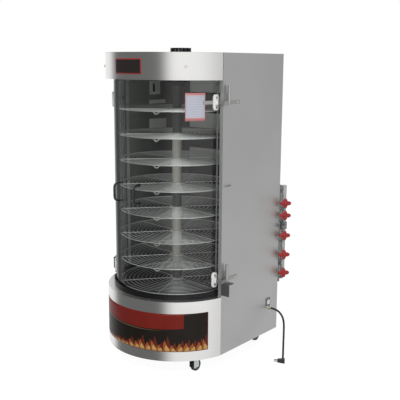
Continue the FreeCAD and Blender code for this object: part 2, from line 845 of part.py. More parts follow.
def drive():
    """Gearmotor on its bracket below the deck, its output shaft, the coupling and the two bearings."""
    top_plate = block(
        around("0", "bracket_half_width"),
        around("0", "bracket_half_depth"),
        ("bracket_level - bracket_gauge", "bracket_level"),
    )
    legs = []
    for side in (RIGHT, LEFT):
        across = span(side, "bracket_half_width - bracket_gauge", "bracket_half_width")
        upright = ("caster_height + floor_gauge", "bracket_level - bracket_gauge")
        legs.append(block(across, around("0", "bracket_half_depth"), upright))
    piece("motor_bracket", fuse(top_plate, *legs))

    gearbox = block(
        around("0", "gearbox_half_width"),
        around("0", "gearbox_half_depth"),
        ("bracket_level", GEARBOX_TOP),
    )
    motor_at = ("0", "gearbox_half_depth", "bracket_level + gearbox_height / 2")
    motor = rod("motor_radius", "motor_length", motor_at, TO_BACK)
    socket = disc("output_radius + running_gap", (f"{GEARBOX_TOP} - output_depth", GEARBOX_TOP))
    piece("gearmotor", cut(fuse(gearbox, motor), socket))

    output_low = f"({GEARBOX_TOP} - output_depth + seam_gap)"
    piece("output_shaft", disc("output_radius", (output_low, f"{output_low} + output_length")))

    coupling_levels = ("coupling_low_level", "coupling_low_level + coupling_height")
    sleeve = disc("coupling_radius", coupling_levels)
    lower_bore = disc("output_radius + running_gap", coupling_levels)
    upper_bore = disc("spigot_radius + running_gap", (f"{BEARING_TOP} - spigot_drop", coupling_levels[1]))
    piece("drive_coupling", cut(sleeve, lower_bore, upper_bore))

    lower_bearing = ring("bearing_radius", "spigot_radius + running_gap", (DECK_TOP, BEARING_TOP))
    top_bush = ring("bush_radius", "top_spigot_radius + running_gap", (BUSH_LOW, HOOD_LOW))
    piece("shaft_bearings", group(lower_bearing, top_bush))


def rack_level(index):
    """The underside of a rack, counted from the top."""
    return f"(rack_top_level - rack_pitch * {index} - rack_thickness / 2)"


def rotor_shaft():
    """A plugged tube with a spigot at each end and a welded collar under each rack."""
    low = f"({BEARING_TOP} + seam_gap)"
    high = f"({BUSH_LOW} - seam_gap)"
    foot_low = f"{BEARING_TOP} - spigot_drop"
    joined = [
        disc("shaft_radius", (low, high)),
        disc("spigot_radius", (foot_low, low)),
        disc("top_spigot_radius", (high, f"{high} + top_spigot_length")),
    ]
    for index in range(RACK_COUNT):
        joined.append(disc("hub_radius", (f"{rack_level(index)} - collar_height", rack_level(index))))
    hollow = disc("shaft_radius - shaft_wall", (f"{low} + shaft_plug", f"{high} - shaft_plug"))
    vent = disc("shaft_vent_radius", (foot_low, f"{low} + shaft_plug * 2"))
    piece("rotor_shaft", cut(fuse(*joined), hollow, vent))


def polar(radius, angle):
    return FreeCAD.Vector(radius * math.cos(angle), radius * math.sin(angle), 0)


def gap_outline(inner, outer, start, end, half_spoke):
    """The opening between two rings and two spokes of a rack."""
    inner_lean = math.asin(half_spoke / inner)
    outer_lean = math.asin(half_spoke / outer)
    middle = (start + end) / 2
    corners = [
        polar(inner, start + inner_lean),
        polar(outer, start + outer_lean),
        polar(outer, end - outer_lean),
        polar(inner, end - inner_lean),
    ]
    return Part.Wire([
        Part.LineSegment(corners[0], corners[1]).toShape(),
        Part.Arc(corners[1], polar(outer, middle), corners[2]).toShape(),
        Part.LineSegment(corners[2], corners[3]).toShape(),
        Part.Arc(corners[3], polar(inner, middle), corners[0]).toShape(),
    ])


def rack_shape():
    """Rings and spokes as one pierced plate with a bored hub, and a peg welded under one spoke's end."""
    radius = value("rack_radius")
    hub = value("hub_radius")
    wire = value("rack_wire")
    thickness = value("rack_thickness")
    half_spoke = value("spoke_width") / 2
    bore = value("shaft_radius + running_gap")
    outline = Part.Wire(Part.Circle(FreeCAD.Vector(), UP, radius).toShape())
    bore_outline = Part.Wire(Part.Circle(FreeCAD.Vector(), UP, bore).toShape())
    pitch = (radius - value("rack_rim") + wire - hub) / RACK_RINGS
    peg_angle = math.radians(value("peg_angle") - 90)
    gaps = []
    for ring_index in range(RACK_RINGS):
        inner = hub + pitch * ring_index
        for spoke in range(RACK_SPOKES):
            start = peg_angle + math.tau * spoke / RACK_SPOKES
            end = peg_angle + math.tau * (spoke + 1) / RACK_SPOKES
            gaps.append(gap_outline(inner, inner + pitch - wire, start, end, half_spoke))
    face = Part.makeFace([outline, bore_outline] + gaps, "Part::FaceMakerBullseye")
    net = face.extrude(UP * thickness)
    peg_at = polar(radius - value("rack_rim") / 2, peg_angle) - UP * value("peg_length")
    peg = Part.makeCylinder(value("peg_radius"), value("peg_length"), peg_at)
    return Part.makeCompound([net, peg])


def racks():
    shape = rack_shape()
    for index in range(RACK_COUNT):
        piece(f"rack_{index + 1}", shaped(shape, UP * value(rack_level(index))))


GLASS_LEVELS = (f"{DECK_TOP} + glass_foot", f"{HOOD_LOW} - glass_head")
GLASS_SPANS = {
    RIGHT: ("meeting_gap / 2 - meeting_angle", "door_end_angle + meeting_angle - meeting_gap / 2"),
    LEFT: ("-door_end_angle", "door_end_angle - meeting_angle - meeting_gap / 2"),
}
HANDLE_ANGLES = {RIGHT: "handle_offset_angle - meeting_angle", LEFT: "-handle_offset_angle - meeting_angle"}
CLAMP_ANGLES = {RIGHT: "right_clamp_angle", LEFT: "left_clamp_angle"}
SIDE_NAMES = {RIGHT: "right", LEFT: "left"}
HINGE_LEVELS = ("upper_hinge_level", "lower_hinge_level")


def door_handle(side):
    """A bow handle: two pads and legs that stand out from the glass and an upright bar."""
    seat = "-glass_radius - seam_gap"
    joined = []
    for step in ("-1", "1"):
        level = f"handle_level + {step} * handle_half_spacing"
        at = ("0", f"{seat} - handle_reach", level)
        joined.append(rod("handle_leg_radius", "handle_reach", at, TO_BACK))
        pad_at = ("0", f"{seat} - handle_pad_depth", level)
        joined.append(rod("handle_pad_radius", "handle_pad_depth", pad_at, TO_BACK))
    bar = around("handle_level", "(handle_half_spacing + handle_bar_radius)")
    joined.append(disc("handle_bar_radius", bar, ("0", f"{seat} - handle_reach")))
    return turn_about_z(fuse(*joined), HANDLE_ANGLES[side])


def hinge_arm(side, level):
    """Clamp plate and strap along the glass, then an arm round the panel's edge to the eye on the pin."""
    inner = "glass_radius + seam_gap"
    outer = f"{inner} + strap_thickness"
    plate_angle = CLAMP_ANGLES[side]
    first = f"({plate_angle} - strap_lead_angle)" if side == RIGHT else f"({plate_angle} - clamp_half_angle)"
    start = first if side == RIGHT else "-door_end_angle"
    plate_start = f"{side} * {plate_angle} - clamp_half_angle"
    strap_levels = around(level, "strap_half_height")
    strap = arc_wall(outer, inner, strap_levels, start, f"door_end_angle - {first}")
    plate = arc_wall(outer, inner, around(level, "clamp_half_height"), plate_start, "clamp_half_angle * 2")
    on_glass = f"sqrt((glass_radius + seam_gap * 2) ^ 2 - {ARM_FRONT} ^ 2) + strap_thickness / 2"
    across = span(side, on_glass, f"{HINGE_ACROSS} + arm_thickness / 2")
    reach = block(across, (f"-{ARM_FRONT}", f"-{ARM_FRONT} + arm_thickness"), strap_levels)
    upright = span(side, f"{HINGE_ACROSS} - arm_thickness / 2", f"{HINGE_ACROSS} + arm_thickness / 2")
    back = block(upright, (f"-{ARM_FRONT}", HINGE_BACK), strap_levels)
    pin_at = (f"{side} * {HINGE_ACROSS}", HINGE_BACK)
    eye = disc("eye_radius", strap_levels, pin_at)
    bore = disc("hinge_pin_radius + running_gap", strap_levels, pin_at)
    screws = []
    for step in ("-1", "1"):
        screw_level = f"{level} + {step} * (clamp_half_height - clamp_screw_inset)"
        at = ("0", f"-({outer} + screw_height)", screw_level)
        head = rod("screw_radius", "screw_height + strap_thickness / 2", at, TO_BACK)
        screws.append(turn_plate_screw(head, f"{side} * {plate_angle}", outer))
    return cut(fuse(strap, plate, reach, back, eye, *screws), bore)


def turn_plate_screw(head, angle, outer):
    """Lay a screw head against a clamp plate at an angle from straight ahead."""
    reach = f"({outer} + screw_height)"
    turn = FreeCAD.Rotation(UP, value(angle)).multiply(FreeCAD.Rotation(UP, TO_BACK))
    head.Placement = FreeCAD.Placement(FreeCAD.Vector(), turn)
    head.setExpression("Placement.Base.x", bind(f"sin({angle}) * {reach}"))
    head.setExpression("Placement.Base.y", bind(f"-cos({angle}) * {reach}"))
    return head


def hinge_shelf(side):
    """The angle under a lower hinge: a plate standing out from the panel and the shelf that the pin ends in."""
    across = span(side, "half_width", "half_width + shelf_reach")
    plate_levels = ("shelf_level - shelf_height", "shelf_level")
    shelf_levels = ("shelf_level - shelf_gauge", "shelf_level")
    plate = block(across, ("-front_edge", "-front_edge + shelf_gauge"), plate_levels)
    shelf = block(across, ("-front_edge", "-front_edge + shelf_depth"), shelf_levels)
    return plate, shelf


def hinge_bracket(side, level):
    """A leaf screwed to the side panel, with the tapered knuckle and the pin that carries the door."""
    pin_at = (f"{side} * {HINGE_ACROSS}", HINGE_BACK)
    lower = level == "lower_hinge_level"
    pin_low = "shelf_level" if lower else f"{level} - strap_half_height - leaf_gauge"
    knuckle_low = f"({level} + strap_half_height + seam_gap)"
    leaf = block(
        span(side, "half_width", "half_width + leaf_gauge"),
        (f"{HINGE_BACK} - leaf_front", f"{HINGE_BACK} + leaf_back"),
        around(level, "strap_half_height"),
    )
    rise = block(
        span(side, "half_width", "half_width + leaf_gauge"),
        around(HINGE_BACK, "leaf_front"),
        (f"{level} - strap_half_height", f"{level} + leaf_rise"),
    )
    web = block(
        span(side, "half_width", HINGE_ACROSS),
        around(HINGE_BACK, "arm_thickness"),
        (knuckle_low, f"{level} + leaf_rise"),
    )
    knuckle = cone("eye_radius", "knuckle_tip_radius", "knuckle_height", (*pin_at, knuckle_low))
    pin = disc("hinge_pin_radius", (pin_low, knuckle_low), pin_at)
    shelf = hinge_shelf(side) if lower else ()
    return fuse(leaf, rise, web, knuckle, pin, *shelf)


def doors():
    for side in (RIGHT, LEFT):
        name = SIDE_NAMES[side]
        start, sweep = GLASS_SPANS[side]
        glass = arc_wall("glass_radius", "glass_radius - glass_thickness", GLASS_LEVELS, start, sweep)
        piece(f"{name}_door_glass", glass)
        piece(f"{name}_door_handle", door_handle(side))
        piece(f"{name}_door_hinge_arms", group(*(hinge_arm(side, level) for level in HINGE_LEVELS)))
    brackets = [hinge_bracket(side, level) for side in (RIGHT, LEFT) for level in HINGE_LEVELS]
    piece("hinge_brackets", group(*brackets))


def casing_screws():
    """Screw heads on the hood band, the hinge leaves, each side panel's front edge and the rear sheet."""
    heads = []
    for side in (RIGHT, LEFT):
        angle = f"{side} * hood_screw_angle"
        reach = "(hood_radius + seam_gap)"
        outward = FreeCAD.Rotation(UP, side * value("hood_screw_angle") - 90).multVec(TO_RIGHT)
        at = (f"sin({angle}) * {reach}", f"-cos({angle}) * {reach}", f"{HOOD_LOW} + hood_height / 2")
        heads.append(rod("hood_screw_radius", "hood_screw_height", at, outward))
        for level in HINGE_LEVELS:
            leaf_back = f"{HINGE_BACK} + leaf_back - leaf_screw_inset"
            leaf_at = (f"{side} * (half_width + leaf_gauge)", leaf_back, level)
            heads.append(rod("screw_radius", "screw_height", leaf_at, TO_RIGHT * side))
        for index in range(EDGE_SCREWS):
            level = f"{DECK_TOP} - edge_screw_top - edge_screw_pitch * {index}"
            edge_at = (f"{side} * half_width", "edge_screw_inset - front_edge", level)
            heads.append(rod("edge_screw_radius", "edge_screw_height", edge_at, TO_RIGHT * side))
        for index in range(REAR_SCREWS):
            level = f"{ROOF} - rear_screw_top - rear_screw_pitch * {index}"
            rear_at = (f"{side} * (half_width - rear_screw_inset)", "rear_depth", level)
            heads.append(rod("screw_radius", "screw_height", rear_at, TO_BACK))
    piece("casing_screws", group(*heads))


CASTER_PLACES = {
    "front_right": ("caster_right", "-caster_front"),
    "front_left": ("-caster_right", "-caster_front"),
    "rear_right": ("caster_right", "caster_rear"),
    "rear_left": ("-caster_right", "caster_rear"),
}
PLATE_LOW = "(caster_height - caster_plate_gauge)"
RACE_LOW = f"({PLATE_LOW} - race_height)"
CROWN_TOP = f"({RACE_LOW} - seam_gap)"
CROWN_LOW = f"({CROWN_TOP} - crown_height)"


def caster_mount(x, y):
    levels = (PLATE_LOW, "caster_height")
    plate = block(around(x, "caster_plate_half"), around(y, "caster_plate_half"), levels)
    race = disc("race_radius", (RACE_LOW, PLATE_LOW), (x, y))
    bore = disc("king_pin_radius + running_gap", (RACE_LOW, PLATE_LOW), (x, y))
    return cut(fuse(plate, race), bore)


def caster_fork(x, y):
    """Crown, king pin, two cheeks that lean back to the axle, and the axle."""
    crown = disc("race_radius", (CROWN_LOW, CROWN_TOP), (x, y))
    king_pin = disc("king_pin_radius", (CROWN_TOP, f"{PLATE_LOW} - seam_gap"), (x, y))
    axle_back = f"({y} + caster_trail)"
    inside = "(wheel_width / 2 + wheel_gap)"
    joined = [crown, king_pin]
    for side in (RIGHT, LEFT):
        low, high = span(side, inside, f"{inside} + fork_gauge")
        across = (f"{x} + {low}", f"{x} + {high}")
        depth = (f"{y} - fork_half_depth", f"{axle_back} + fork_tail")
        joined.append(block(across, depth, ("wheel_radius - fork_tail", CROWN_LOW)))
    axle_at = (f"{x} - {inside} - fork_gauge", axle_back, "wheel_radius")
    joined.append(rod("axle_radius", f"({inside} + fork_gauge) * 2", axle_at, TO_RIGHT))
    return fuse(*joined)


def caster_wheel(x, y):
    """A wheel with rounded tread shoulders, turned about its axle."""
    start = (f"{x} - wheel_width / 2", f"{y} + caster_trail", "wheel_radius")
    shoulder = (f"{x} - wheel_width / 2 + tread_round", start[1], start[2])
    far = (f"{x} + wheel_width / 2 - tread_round", start[1], start[2])
    side_radius = "wheel_radius - tread_round"
    tread = rod("wheel_radius", "wheel_width - tread_round * 2", shoulder, TO_RIGHT)
    near_side = cone(side_radius, "wheel_radius", "tread_round", start, TO_RIGHT)
    far_side = cone("wheel_radius", side_radius, "tread_round", far, TO_RIGHT)
    bore = rod("axle_radius + running_gap", "wheel_width", start, TO_RIGHT)
    return cut(fuse(near_side, tread, far_side), bore)


def casters():
    piece("caster_mounts", group(*(caster_mount(x, y) for x, y in CASTER_PLACES.values())))
    for name, (x, y) in CASTER_PLACES.items():
        piece(f"caster_fork_{name}", caster_fork(x, y))
        piece(f"caster_wheel_{name}", caster_wheel(x, y))


casing()
side_panels()
rear_panel()
flue_collar()
chamber()
burners()
gas_line()
valve_handles()
feed_tubes()
switch()
cord()
drive()
rotor_shaft()
racks()
doors()
casing_screws()
casters()
doc.recompute()

for item in doc.Objects:
    if "Invalid" in item.State or "Error" in item.State:
        raise RuntimeError(f"{item.Name} ({item.Label}) failed: {item.State}")
for item in pieces:
    if item.Shape.isNull() or not item.Shape.isValid():
        raise RuntimeError(f"{item.Label} has no valid shape")

os.makedirs("parts", exist_ok=True)
axis_place = FreeCAD.Vector(value("axis_right"), value("axis_back"), 0)
for item in pieces:
    item.Shape.translated(axis_place).exportStep(f"parts/{item.Label}.step")
print(len(pieces), "pieces")
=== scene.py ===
# %% [markdown]
# A vertical rotisserie, dressed for its portrait.
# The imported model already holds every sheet, hinge and wheel at its real size, so this lesson loads it as a
# fixed frame and only adds what a maker adds last: finishes, printed film, round wire, moulded handles and
# a lead.

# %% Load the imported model
import math
import bmesh
import bpy
import numpy as np
from mathutils import Matrix, Vector


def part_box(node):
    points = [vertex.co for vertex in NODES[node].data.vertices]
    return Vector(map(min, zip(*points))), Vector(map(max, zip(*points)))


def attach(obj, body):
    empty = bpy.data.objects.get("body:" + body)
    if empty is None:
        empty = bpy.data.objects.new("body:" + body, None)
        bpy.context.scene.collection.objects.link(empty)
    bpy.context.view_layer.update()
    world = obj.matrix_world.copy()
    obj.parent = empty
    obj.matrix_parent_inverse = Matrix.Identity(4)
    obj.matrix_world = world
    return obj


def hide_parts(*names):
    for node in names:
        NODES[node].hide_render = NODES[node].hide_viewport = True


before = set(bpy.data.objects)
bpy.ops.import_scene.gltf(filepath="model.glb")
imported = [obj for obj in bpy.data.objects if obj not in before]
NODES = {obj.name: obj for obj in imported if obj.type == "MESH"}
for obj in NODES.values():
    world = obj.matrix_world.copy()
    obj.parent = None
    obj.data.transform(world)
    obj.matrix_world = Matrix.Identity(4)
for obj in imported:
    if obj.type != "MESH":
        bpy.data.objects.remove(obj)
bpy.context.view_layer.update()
MM = 0.001
shaft_low, shaft_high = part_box("rotor_shaft")
AXIS = Vector(((shaft_low.x + shaft_high.x) / 2, (shaft_low.y + shaft_high.y) / 2, 0))
print("nodes", len(NODES), "rotor axis", tuple(round(v, 4) for v in AXIS))

# %% [markdown]
# The camera comes first, because every later choice is judged through it.
# It could be placed by eye, but the photograph's own ellipses and edges fix it: it stands to the right of
# the machine, a little below its roof, and looks down by eleven degrees through a short telephoto lens.

# %% Camera
CAMERA_PLACE = Vector((2.5093, -2.8961, 1.6013))
CAMERA_YAW = math.radians(39.03)
CAMERA_PITCH = math.radians(10.88)
CAMERA_ROLL = math.radians(0.37)
CAMERA_LENS = 64.26

sight = Vector((-math.sin(CAMERA_YAW) * math.cos(CAMERA_PITCH),
                math.cos(CAMERA_YAW) * math.cos(CAMERA_PITCH),
                -math.sin(CAMERA_PITCH)))
level_right = Vector((math.cos(CAMERA_YAW), math.sin(CAMERA_YAW), 0))
level_up = level_right.cross(sight)
camera_right = level_right * math.cos(CAMERA_ROLL) + level_up * math.sin(CAMERA_ROLL)
camera_up = level_up * math.cos(CAMERA_ROLL) - level_right * math.sin(CAMERA_ROLL)
camera = bpy.data.objects.new("portrait_camera", bpy.data.cameras.new("portrait_camera"))
camera.data.lens = CAMERA_LENS
camera.data.sensor_width = 36
camera.matrix_world = (Matrix.Translation(AXIS + CAMERA_PLACE)
                       @ Matrix((camera_right, camera_up, -sight)).transposed().to_4x4())
bpy.context.scene.collection.objects.link(camera)
bpy.context.scene.camera = camera
print("camera at", tuple(round(v, 3) for v in camera.matrix_world.translation))

# %% [markdown]
# Shader maths reads best as maths.
# One small class wraps a socket: adding or multiplying two of them adds a Math node, so a mask can be
# written as an expression. Its node method adds any other node from its type, its settings and its inputs.


# %% Shader maths
class Flow:
    """A socket in a node tree. Operators add Math nodes, and node() adds any other node."""

    def __init__(self, tree, socket=None):
        self.tree = tree
        self.socket = socket

    def node(self, kind, settings=None, inputs=None, output=0):
        made = self.tree.nodes.new(kind)
        for name, setting in (settings or {}).items():
            setattr(made, name, setting)
        for name, given in (inputs or {}).items():
            if isinstance(given, Flow):
                self.tree.links.new(given.socket, made.inputs[name])
            else:
                made.inputs[name].default_value = given
        return Flow(self.tree, made.outputs[output] if len(made.outputs) else None)

    def math(self, operation, *values):
        return self.node("ShaderNodeMath", {"operation": operation}, dict(enumerate(values)))

    def __add__(self, other):
        return self.math("ADD", self, other)

    def __sub__(self, other):
        return self.math("SUBTRACT", self, other)

    def __rsub__(self, other):
        return self.math("SUBTRACT", other, self)

    def __mul__(self, other):
        return self.math("MULTIPLY", self, other)

    def __truediv__(self, other):
        return self.math("DIVIDE", self, other)

    def __neg__(self):
        return self.math("MULTIPLY", self, -1)

    __radd__ = __add__
    __rmul__ = __mul__


def rise(value, low, high):
    """0 below low, 1 above high, and a smooth step between them."""
    return value.node("ShaderNodeMapRange", {"interpolation_type": "SMOOTHSTEP"},
                      {"Value": value, "From Min": low, "From Max": high})


def between(value, low, high, edge):
    """1 from low to high, with soft edges of the given width."""
    return rise(value, low - edge, low + edge) * (1 - rise(value, high - edge, high + edge))


def blend(share, first, second):
    """A colour between two colours."""
    return share.node("ShaderNodeMix", {"data_type": "RGBA"}, {0: share, 6: first, 7: second}, 2)


def colour(red, green, blue):
    return (red, green, blue, 1)


def parts_of(vector):
    """The x, y and z of a vector."""
    return [vector.node("ShaderNodeSeparateXYZ", None, {0: vector}, axis) for axis in range(3)]


def stretched(vector, scale, move=(0, 0, 0)):
    return vector.node("ShaderNodeMapping", None, {"Vector": vector, "Scale": scale, "Location": move})


def noise(vector, scale, detail=3.0, roughness=0.55):
    return vector.node("ShaderNodeTexNoise", None,
                       {"Vector": vector, "Scale": scale, "Detail": detail, "Roughness": roughness})


def bump(height, distance, strength=1.0):
    return height.node("ShaderNodeBump", None, {"Height": height, "Distance": distance, "Strength": strength})


def blank_material(name):
    """A material with an empty node tree, and a Flow that fills it."""
    material = bpy.data.materials.new(name)
    material.use_nodes = True
    material.node_tree.nodes.clear()
    return material, Flow(material.node_tree)


print("shader maths ready")

# %% [markdown]
# A product portrait stands on white, with broad soft light.
# The page is white to the camera and through the glass. Sheet metal shows whatever surrounds it, so its
# mirror rays meet the same white page with one darker wall to the front left, which draws the grey band
# down the round front, and a greyer wall behind the right side. Everything else is lit by an even fill and
# two large lamps.

# %% Studio
FILL_LIGHT = 0.5
DARK_WALL = (math.radians(-82), math.radians(24))
DARK_WALL_EDGE = math.radians(13)
DARK_WALL_DEPTH = 0.84
SIDE_WALL_START = (math.radians(70), math.radians(150))
SIDE_WALL_END = (math.radians(165), math.pi)
SIDE_WALL_FOOT = (0.05, 0.4)
SIDE_WALL_DEPTH = 0.48
SIDE_WALL_FADE = 0.22
bpy.context.scene.view_settings.view_transform = "Standard"
world = bpy.data.worlds.new("studio")
bpy.context.scene.world = world
world.use_nodes = True
world.node_tree.nodes.clear()
sky = Flow(world.node_tree)
east, north, rising = parts_of(sky.node("ShaderNodeTexCoord", None, None, "Generated"))
bearing = east.math("ARCTAN2", east, -north)
dark_wall = between(bearing, *DARK_WALL, DARK_WALL_EDGE)
side_wall = rise(bearing, *SIDE_WALL_START) * (1 - rise(bearing, *SIDE_WALL_END))
side_depth = SIDE_WALL_DEPTH - rise(-rising, *SIDE_WALL_FOOT) * SIDE_WALL_FADE
walls = 1 - dark_wall * DARK_WALL_DEPTH - side_wall * side_depth
seen = sky.node("ShaderNodeLightPath", None, None, "Is Camera Ray")
through = sky.node("ShaderNodeLightPath", None, None, "Is Transmission Ray")
mirrored = sky.node("ShaderNodeLightPath", None, None, "Is Glossy Ray")
page = sky.node("ShaderNodeBackground", None,
                {"Color": blend(mirrored, colour(1, 1, 1), walls), "Strength": 1.0})
fill = sky.node("ShaderNodeBackground", None, {"Color": colour(1, 1, 1), "Strength": FILL_LIGHT})
looking = seen.math("MAXIMUM", mirrored, seen.math("MAXIMUM", seen, through))
sky.node("ShaderNodeOutputWorld", None,
         {"Surface": sky.node("ShaderNodeMixShader", None, {0: looking, 1: fill, 2: page})})


def soft_lamp(name, place, aim, size, power):
    """A square lamp that hangs at a place about the rotor axis and faces its aim."""
    lamp = bpy.data.objects.new(name, bpy.data.lights.new(name, "AREA"))
    lamp.data.shape = "SQUARE"
    lamp.data.size = size
    lamp.data.energy = power
    lamp.location = AXIS + Vector(place)
    lamp.rotation_euler = (AXIS + Vector(aim) - lamp.location).to_track_quat("-Z", "Y").to_euler()
    bpy.context.scene.collection.objects.link(lamp)


soft_lamp("key", place=(2.6, -3.2, 4.4), aim=(0, -0.2, 0.9), size=2.2, power=130)
soft_lamp("top", place=(0.2, -0.2, 4.2), aim=(0, 0, 1), size=2.6, power=25)

FLOOR_REACH = 14
PAPER_TONE = 0.86
PAPER_GLOW = 1.16
GLOW_SHARE = 0.8
floor_mesh = bpy.data.meshes.new("floor")
floor_mesh.from_pydata([(-FLOOR_REACH, -FLOOR_REACH, 0), (FLOOR_REACH, -FLOOR_REACH, 0),
                        (FLOOR_REACH, FLOOR_REACH, 0), (-FLOOR_REACH, FLOOR_REACH, 0)], [], [(0, 1, 2, 3)])
floor = bpy.data.objects.new("floor", floor_mesh)
bpy.context.scene.collection.objects.link(floor)
paper, sheet = blank_material("floor_paper")
matt = sheet.node("ShaderNodeBsdfDiffuse", None, {"Color": colour(PAPER_TONE, PAPER_TONE, PAPER_TONE)})
glow = sheet.node("ShaderNodeEmission", None, {"Color": colour(1, 1, 1), "Strength": PAPER_GLOW})
clear = sheet.node("ShaderNodeBsdfTransparent")
looked_at = sheet.node("ShaderNodeLightPath", None, None, "Is Camera Ray")
in_mirror = sheet.node("ShaderNodeLightPath", None, None, "Is Glossy Ray")
top_side = sheet.node("ShaderNodeMixShader", None, {0: looked_at * GLOW_SHARE, 1: matt, 2: glow})
sheet.node("ShaderNodeOutputMaterial", None,
           {"Surface": sheet.node("ShaderNodeMixShader", None, {0: in_mirror, 1: top_side, 2: clear})})
floor_mesh.materials.append(paper)
print("studio with", len(bpy.data.lights), "lamps")

# %% [markdown]
# The lead comes next, because it is the one loose thing.
# It leaves a gland on the right side, bends over under its own weight and comes down to the floor, where it
# ends in its plug. A NURBS curve through the route's points bends the way a stiff lead does.

# %% Power lead
LEAD_ROUTE = np.array([
    (384, 374, 231.5), (415, 374, 231.5), (445, 374, 219), (466, 374, 193), (475, 371.5, 160),
    (482, 361, 126), (493, 343, 92), (507, 320, 59), (522, 296, 33), (538, 270, 17), (555, 242, 12)]) * MM
LEAD_RADIUS = 5.7 * MM
lead_points = LEAD_ROUTE + np.array(AXIS)
lead_curve = bpy.data.curves.new("power_lead", "CURVE")
lead_curve.dimensions = "3D"
lead_curve.bevel_depth = 1.0
lead_curve.bevel_resolution = 4
lead_curve.resolution_u = 12
lead_curve.use_fill_caps = True
spline = lead_curve.splines.new("NURBS")
spline.points.add(len(lead_points) - 1)
spline.points.foreach_set("co", np.column_stack([lead_points, np.ones(len(lead_points))]).ravel())
spline.points.foreach_set("radius", np.full(len(lead_points), LEAD_RADIUS))
spline.order_u = 3
spline.use_endpoint_u = True
power_lead = bpy.data.objects.new("power_lead", lead_curve)
bpy.context.scene.collection.objects.link(power_lead)
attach(power_lead, "cabinet")
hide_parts("power_cord")
print("lead points", len(lead_points))

# %% [markdown]
# Every new piece is a grid of points worked out by a formula.
# Numpy gives the whole grid at once; its quads are numbered the same way for every shape, and a grid can be
# closed in one direction or both. Points that fall together at a pole or a seam are merged, so each shape
# is a closed skin.


# %% Grids into meshes
MERGE_GAP = 2e-6


def grid_faces(rows, columns, close_rows=False, close_columns=False):
    """Quads of a grid numbered row by row; a closed direction joins its last line to its first."""
    row, column = np.meshgrid(np.arange(rows - (not close_rows)), np.arange(columns - (not close_columns)),
                              indexing="ij")
    next_row = (row + 1) % rows
    next_column = (column + 1) % columns
    corners = (row * columns + column, row * columns + next_column,
               next_row * columns + next_column, next_row * columns + column)
    return np.stack(corners, -1).reshape(-1, 4)


def make_piece(name, surfaces, body, finish, crease=40, uv=None):
    """Joins (points, faces) surfaces about the rotor axis into one piece that rides on a body."""
    starts = np.cumsum([0] + [len(points) for points, _ in surfaces])
    points = np.concatenate([points for points, _ in surfaces]) + np.array(AXIS)
    faces = np.concatenate([quads + start for (_, quads), start in zip(surfaces, starts)])
    mesh = bpy.data.meshes.new(name)
    mesh.from_pydata(points, [], faces.tolist())
    if uv is not None:
        layer = mesh.uv_layers.new(name="sheet")
        layer.data.foreach_set("uv", uv[faces.ravel()].ravel())
    else:
        skin = bmesh.new()
        skin.from_mesh(mesh)
        bmesh.ops.remove_doubles(skin, verts=skin.verts, dist=MERGE_GAP)
        bmesh.ops.recalc_face_normals(skin, faces=skin.faces)
        skin.to_mesh(mesh)
        skin.free()
    mesh.polygons.foreach_set("use_smooth", np.ones(len(mesh.polygons), bool))
    mesh.set_sharp_from_angle(angle=math.radians(crease))
    mesh.materials.append(finish)
    made = bpy.data.objects.new(name, mesh)
    bpy.context.scene.collection.objects.link(made)
    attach(made, body)
    return made


def wire_ring(radius, wire, level, turns=120, sides=8):
    """A wire bent round the axis: angle a goes round the axis, b round the wire;
    distance from the axis = radius + wire cos b, height = level + wire sin b."""
    a = np.linspace(0, math.tau, turns, endpoint=False)[:, None]
    b = np.linspace(0, math.tau, sides, endpoint=False)[None, :]
    reach = radius + wire * np.cos(b)
    points = np.stack([reach * np.sin(a), -reach * np.cos(a), level + wire * np.sin(b) + 0 * a], -1)
    return points.reshape(-1, 3), grid_faces(turns, sides, True, True)


def tube(path, radii, across, sides=16):
    """A round section carried along a path: at each point the section is radius times
    (cos b times one normal + sin b times the other); zero radii at the ends close it."""
    path = np.asarray(path, float)
    along = np.gradient(path, axis=0)
    along /= np.linalg.norm(along, axis=1, keepdims=True)
    first = np.cross(along, np.asarray(across, float))
    first /= np.linalg.norm(first, axis=1, keepdims=True)
    second = np.cross(along, first)
    b = np.linspace(0, math.tau, sides, endpoint=False)
    section = np.cos(b)[None, :, None] * first[:, None, :] + np.sin(b)[None, :, None] * second[:, None, :]
    points = path[:, None, :] + np.asarray(radii, float)[:, None, None] * section
    return points.reshape(-1, 3), grid_faces(len(path), sides, False, True)


def lathe(profile, place, along, turns=48):
    """A profile of (distance along, radius) pairs turned about a line through place."""
    profile = np.asarray(profile, float)
    along = np.asarray(along, float) / np.linalg.norm(along)
    side = np.cross(along, (0, 0, 1)) if abs(along[2]) < 0.9 else np.cross(along, (1, 0, 0))
    side /= np.linalg.norm(side)
    other = np.cross(along, side)
    a = np.linspace(0, math.tau, turns, endpoint=False)
    spin = np.cos(a)[None, :, None] * side + np.sin(a)[None, :, None] * other
    points = np.asarray(place, float) + profile[:, :1, None] * along + profile[:, 1:, None] * spin
    return points.reshape(-1, 3), grid_faces(len(profile), turns, False, True)


def arc_sheet(radius, start, end, low, high, columns=64, rows=12):
    """A sheet bent round the axis: at angle a from straight ahead and height z the point is
    (radius sin a, -radius cos a, z). Its UV map is (length along the arc, height) in metres."""
    a = np.radians(np.linspace(start, end, columns))[None, :]
    z = np.linspace(low, high, rows)[:, None]
    points = np.stack([radius * np.sin(a) + 0 * z, -radius * np.cos(a) + 0 * z, z + 0 * a], -1)
    uv = np.stack([radius * (a - a[0, 0]) + 0 * z, z - low + 0 * a], -1)
    return points.reshape(-1, 3), grid_faces(rows, columns), uv.reshape(-1, 2)


def around(angle):
    """The outward direction at an angle in degrees from straight ahead, positive to the right."""
    return np.array((math.sin(math.radians(angle)), -math.cos(math.radians(angle)), 0.0))


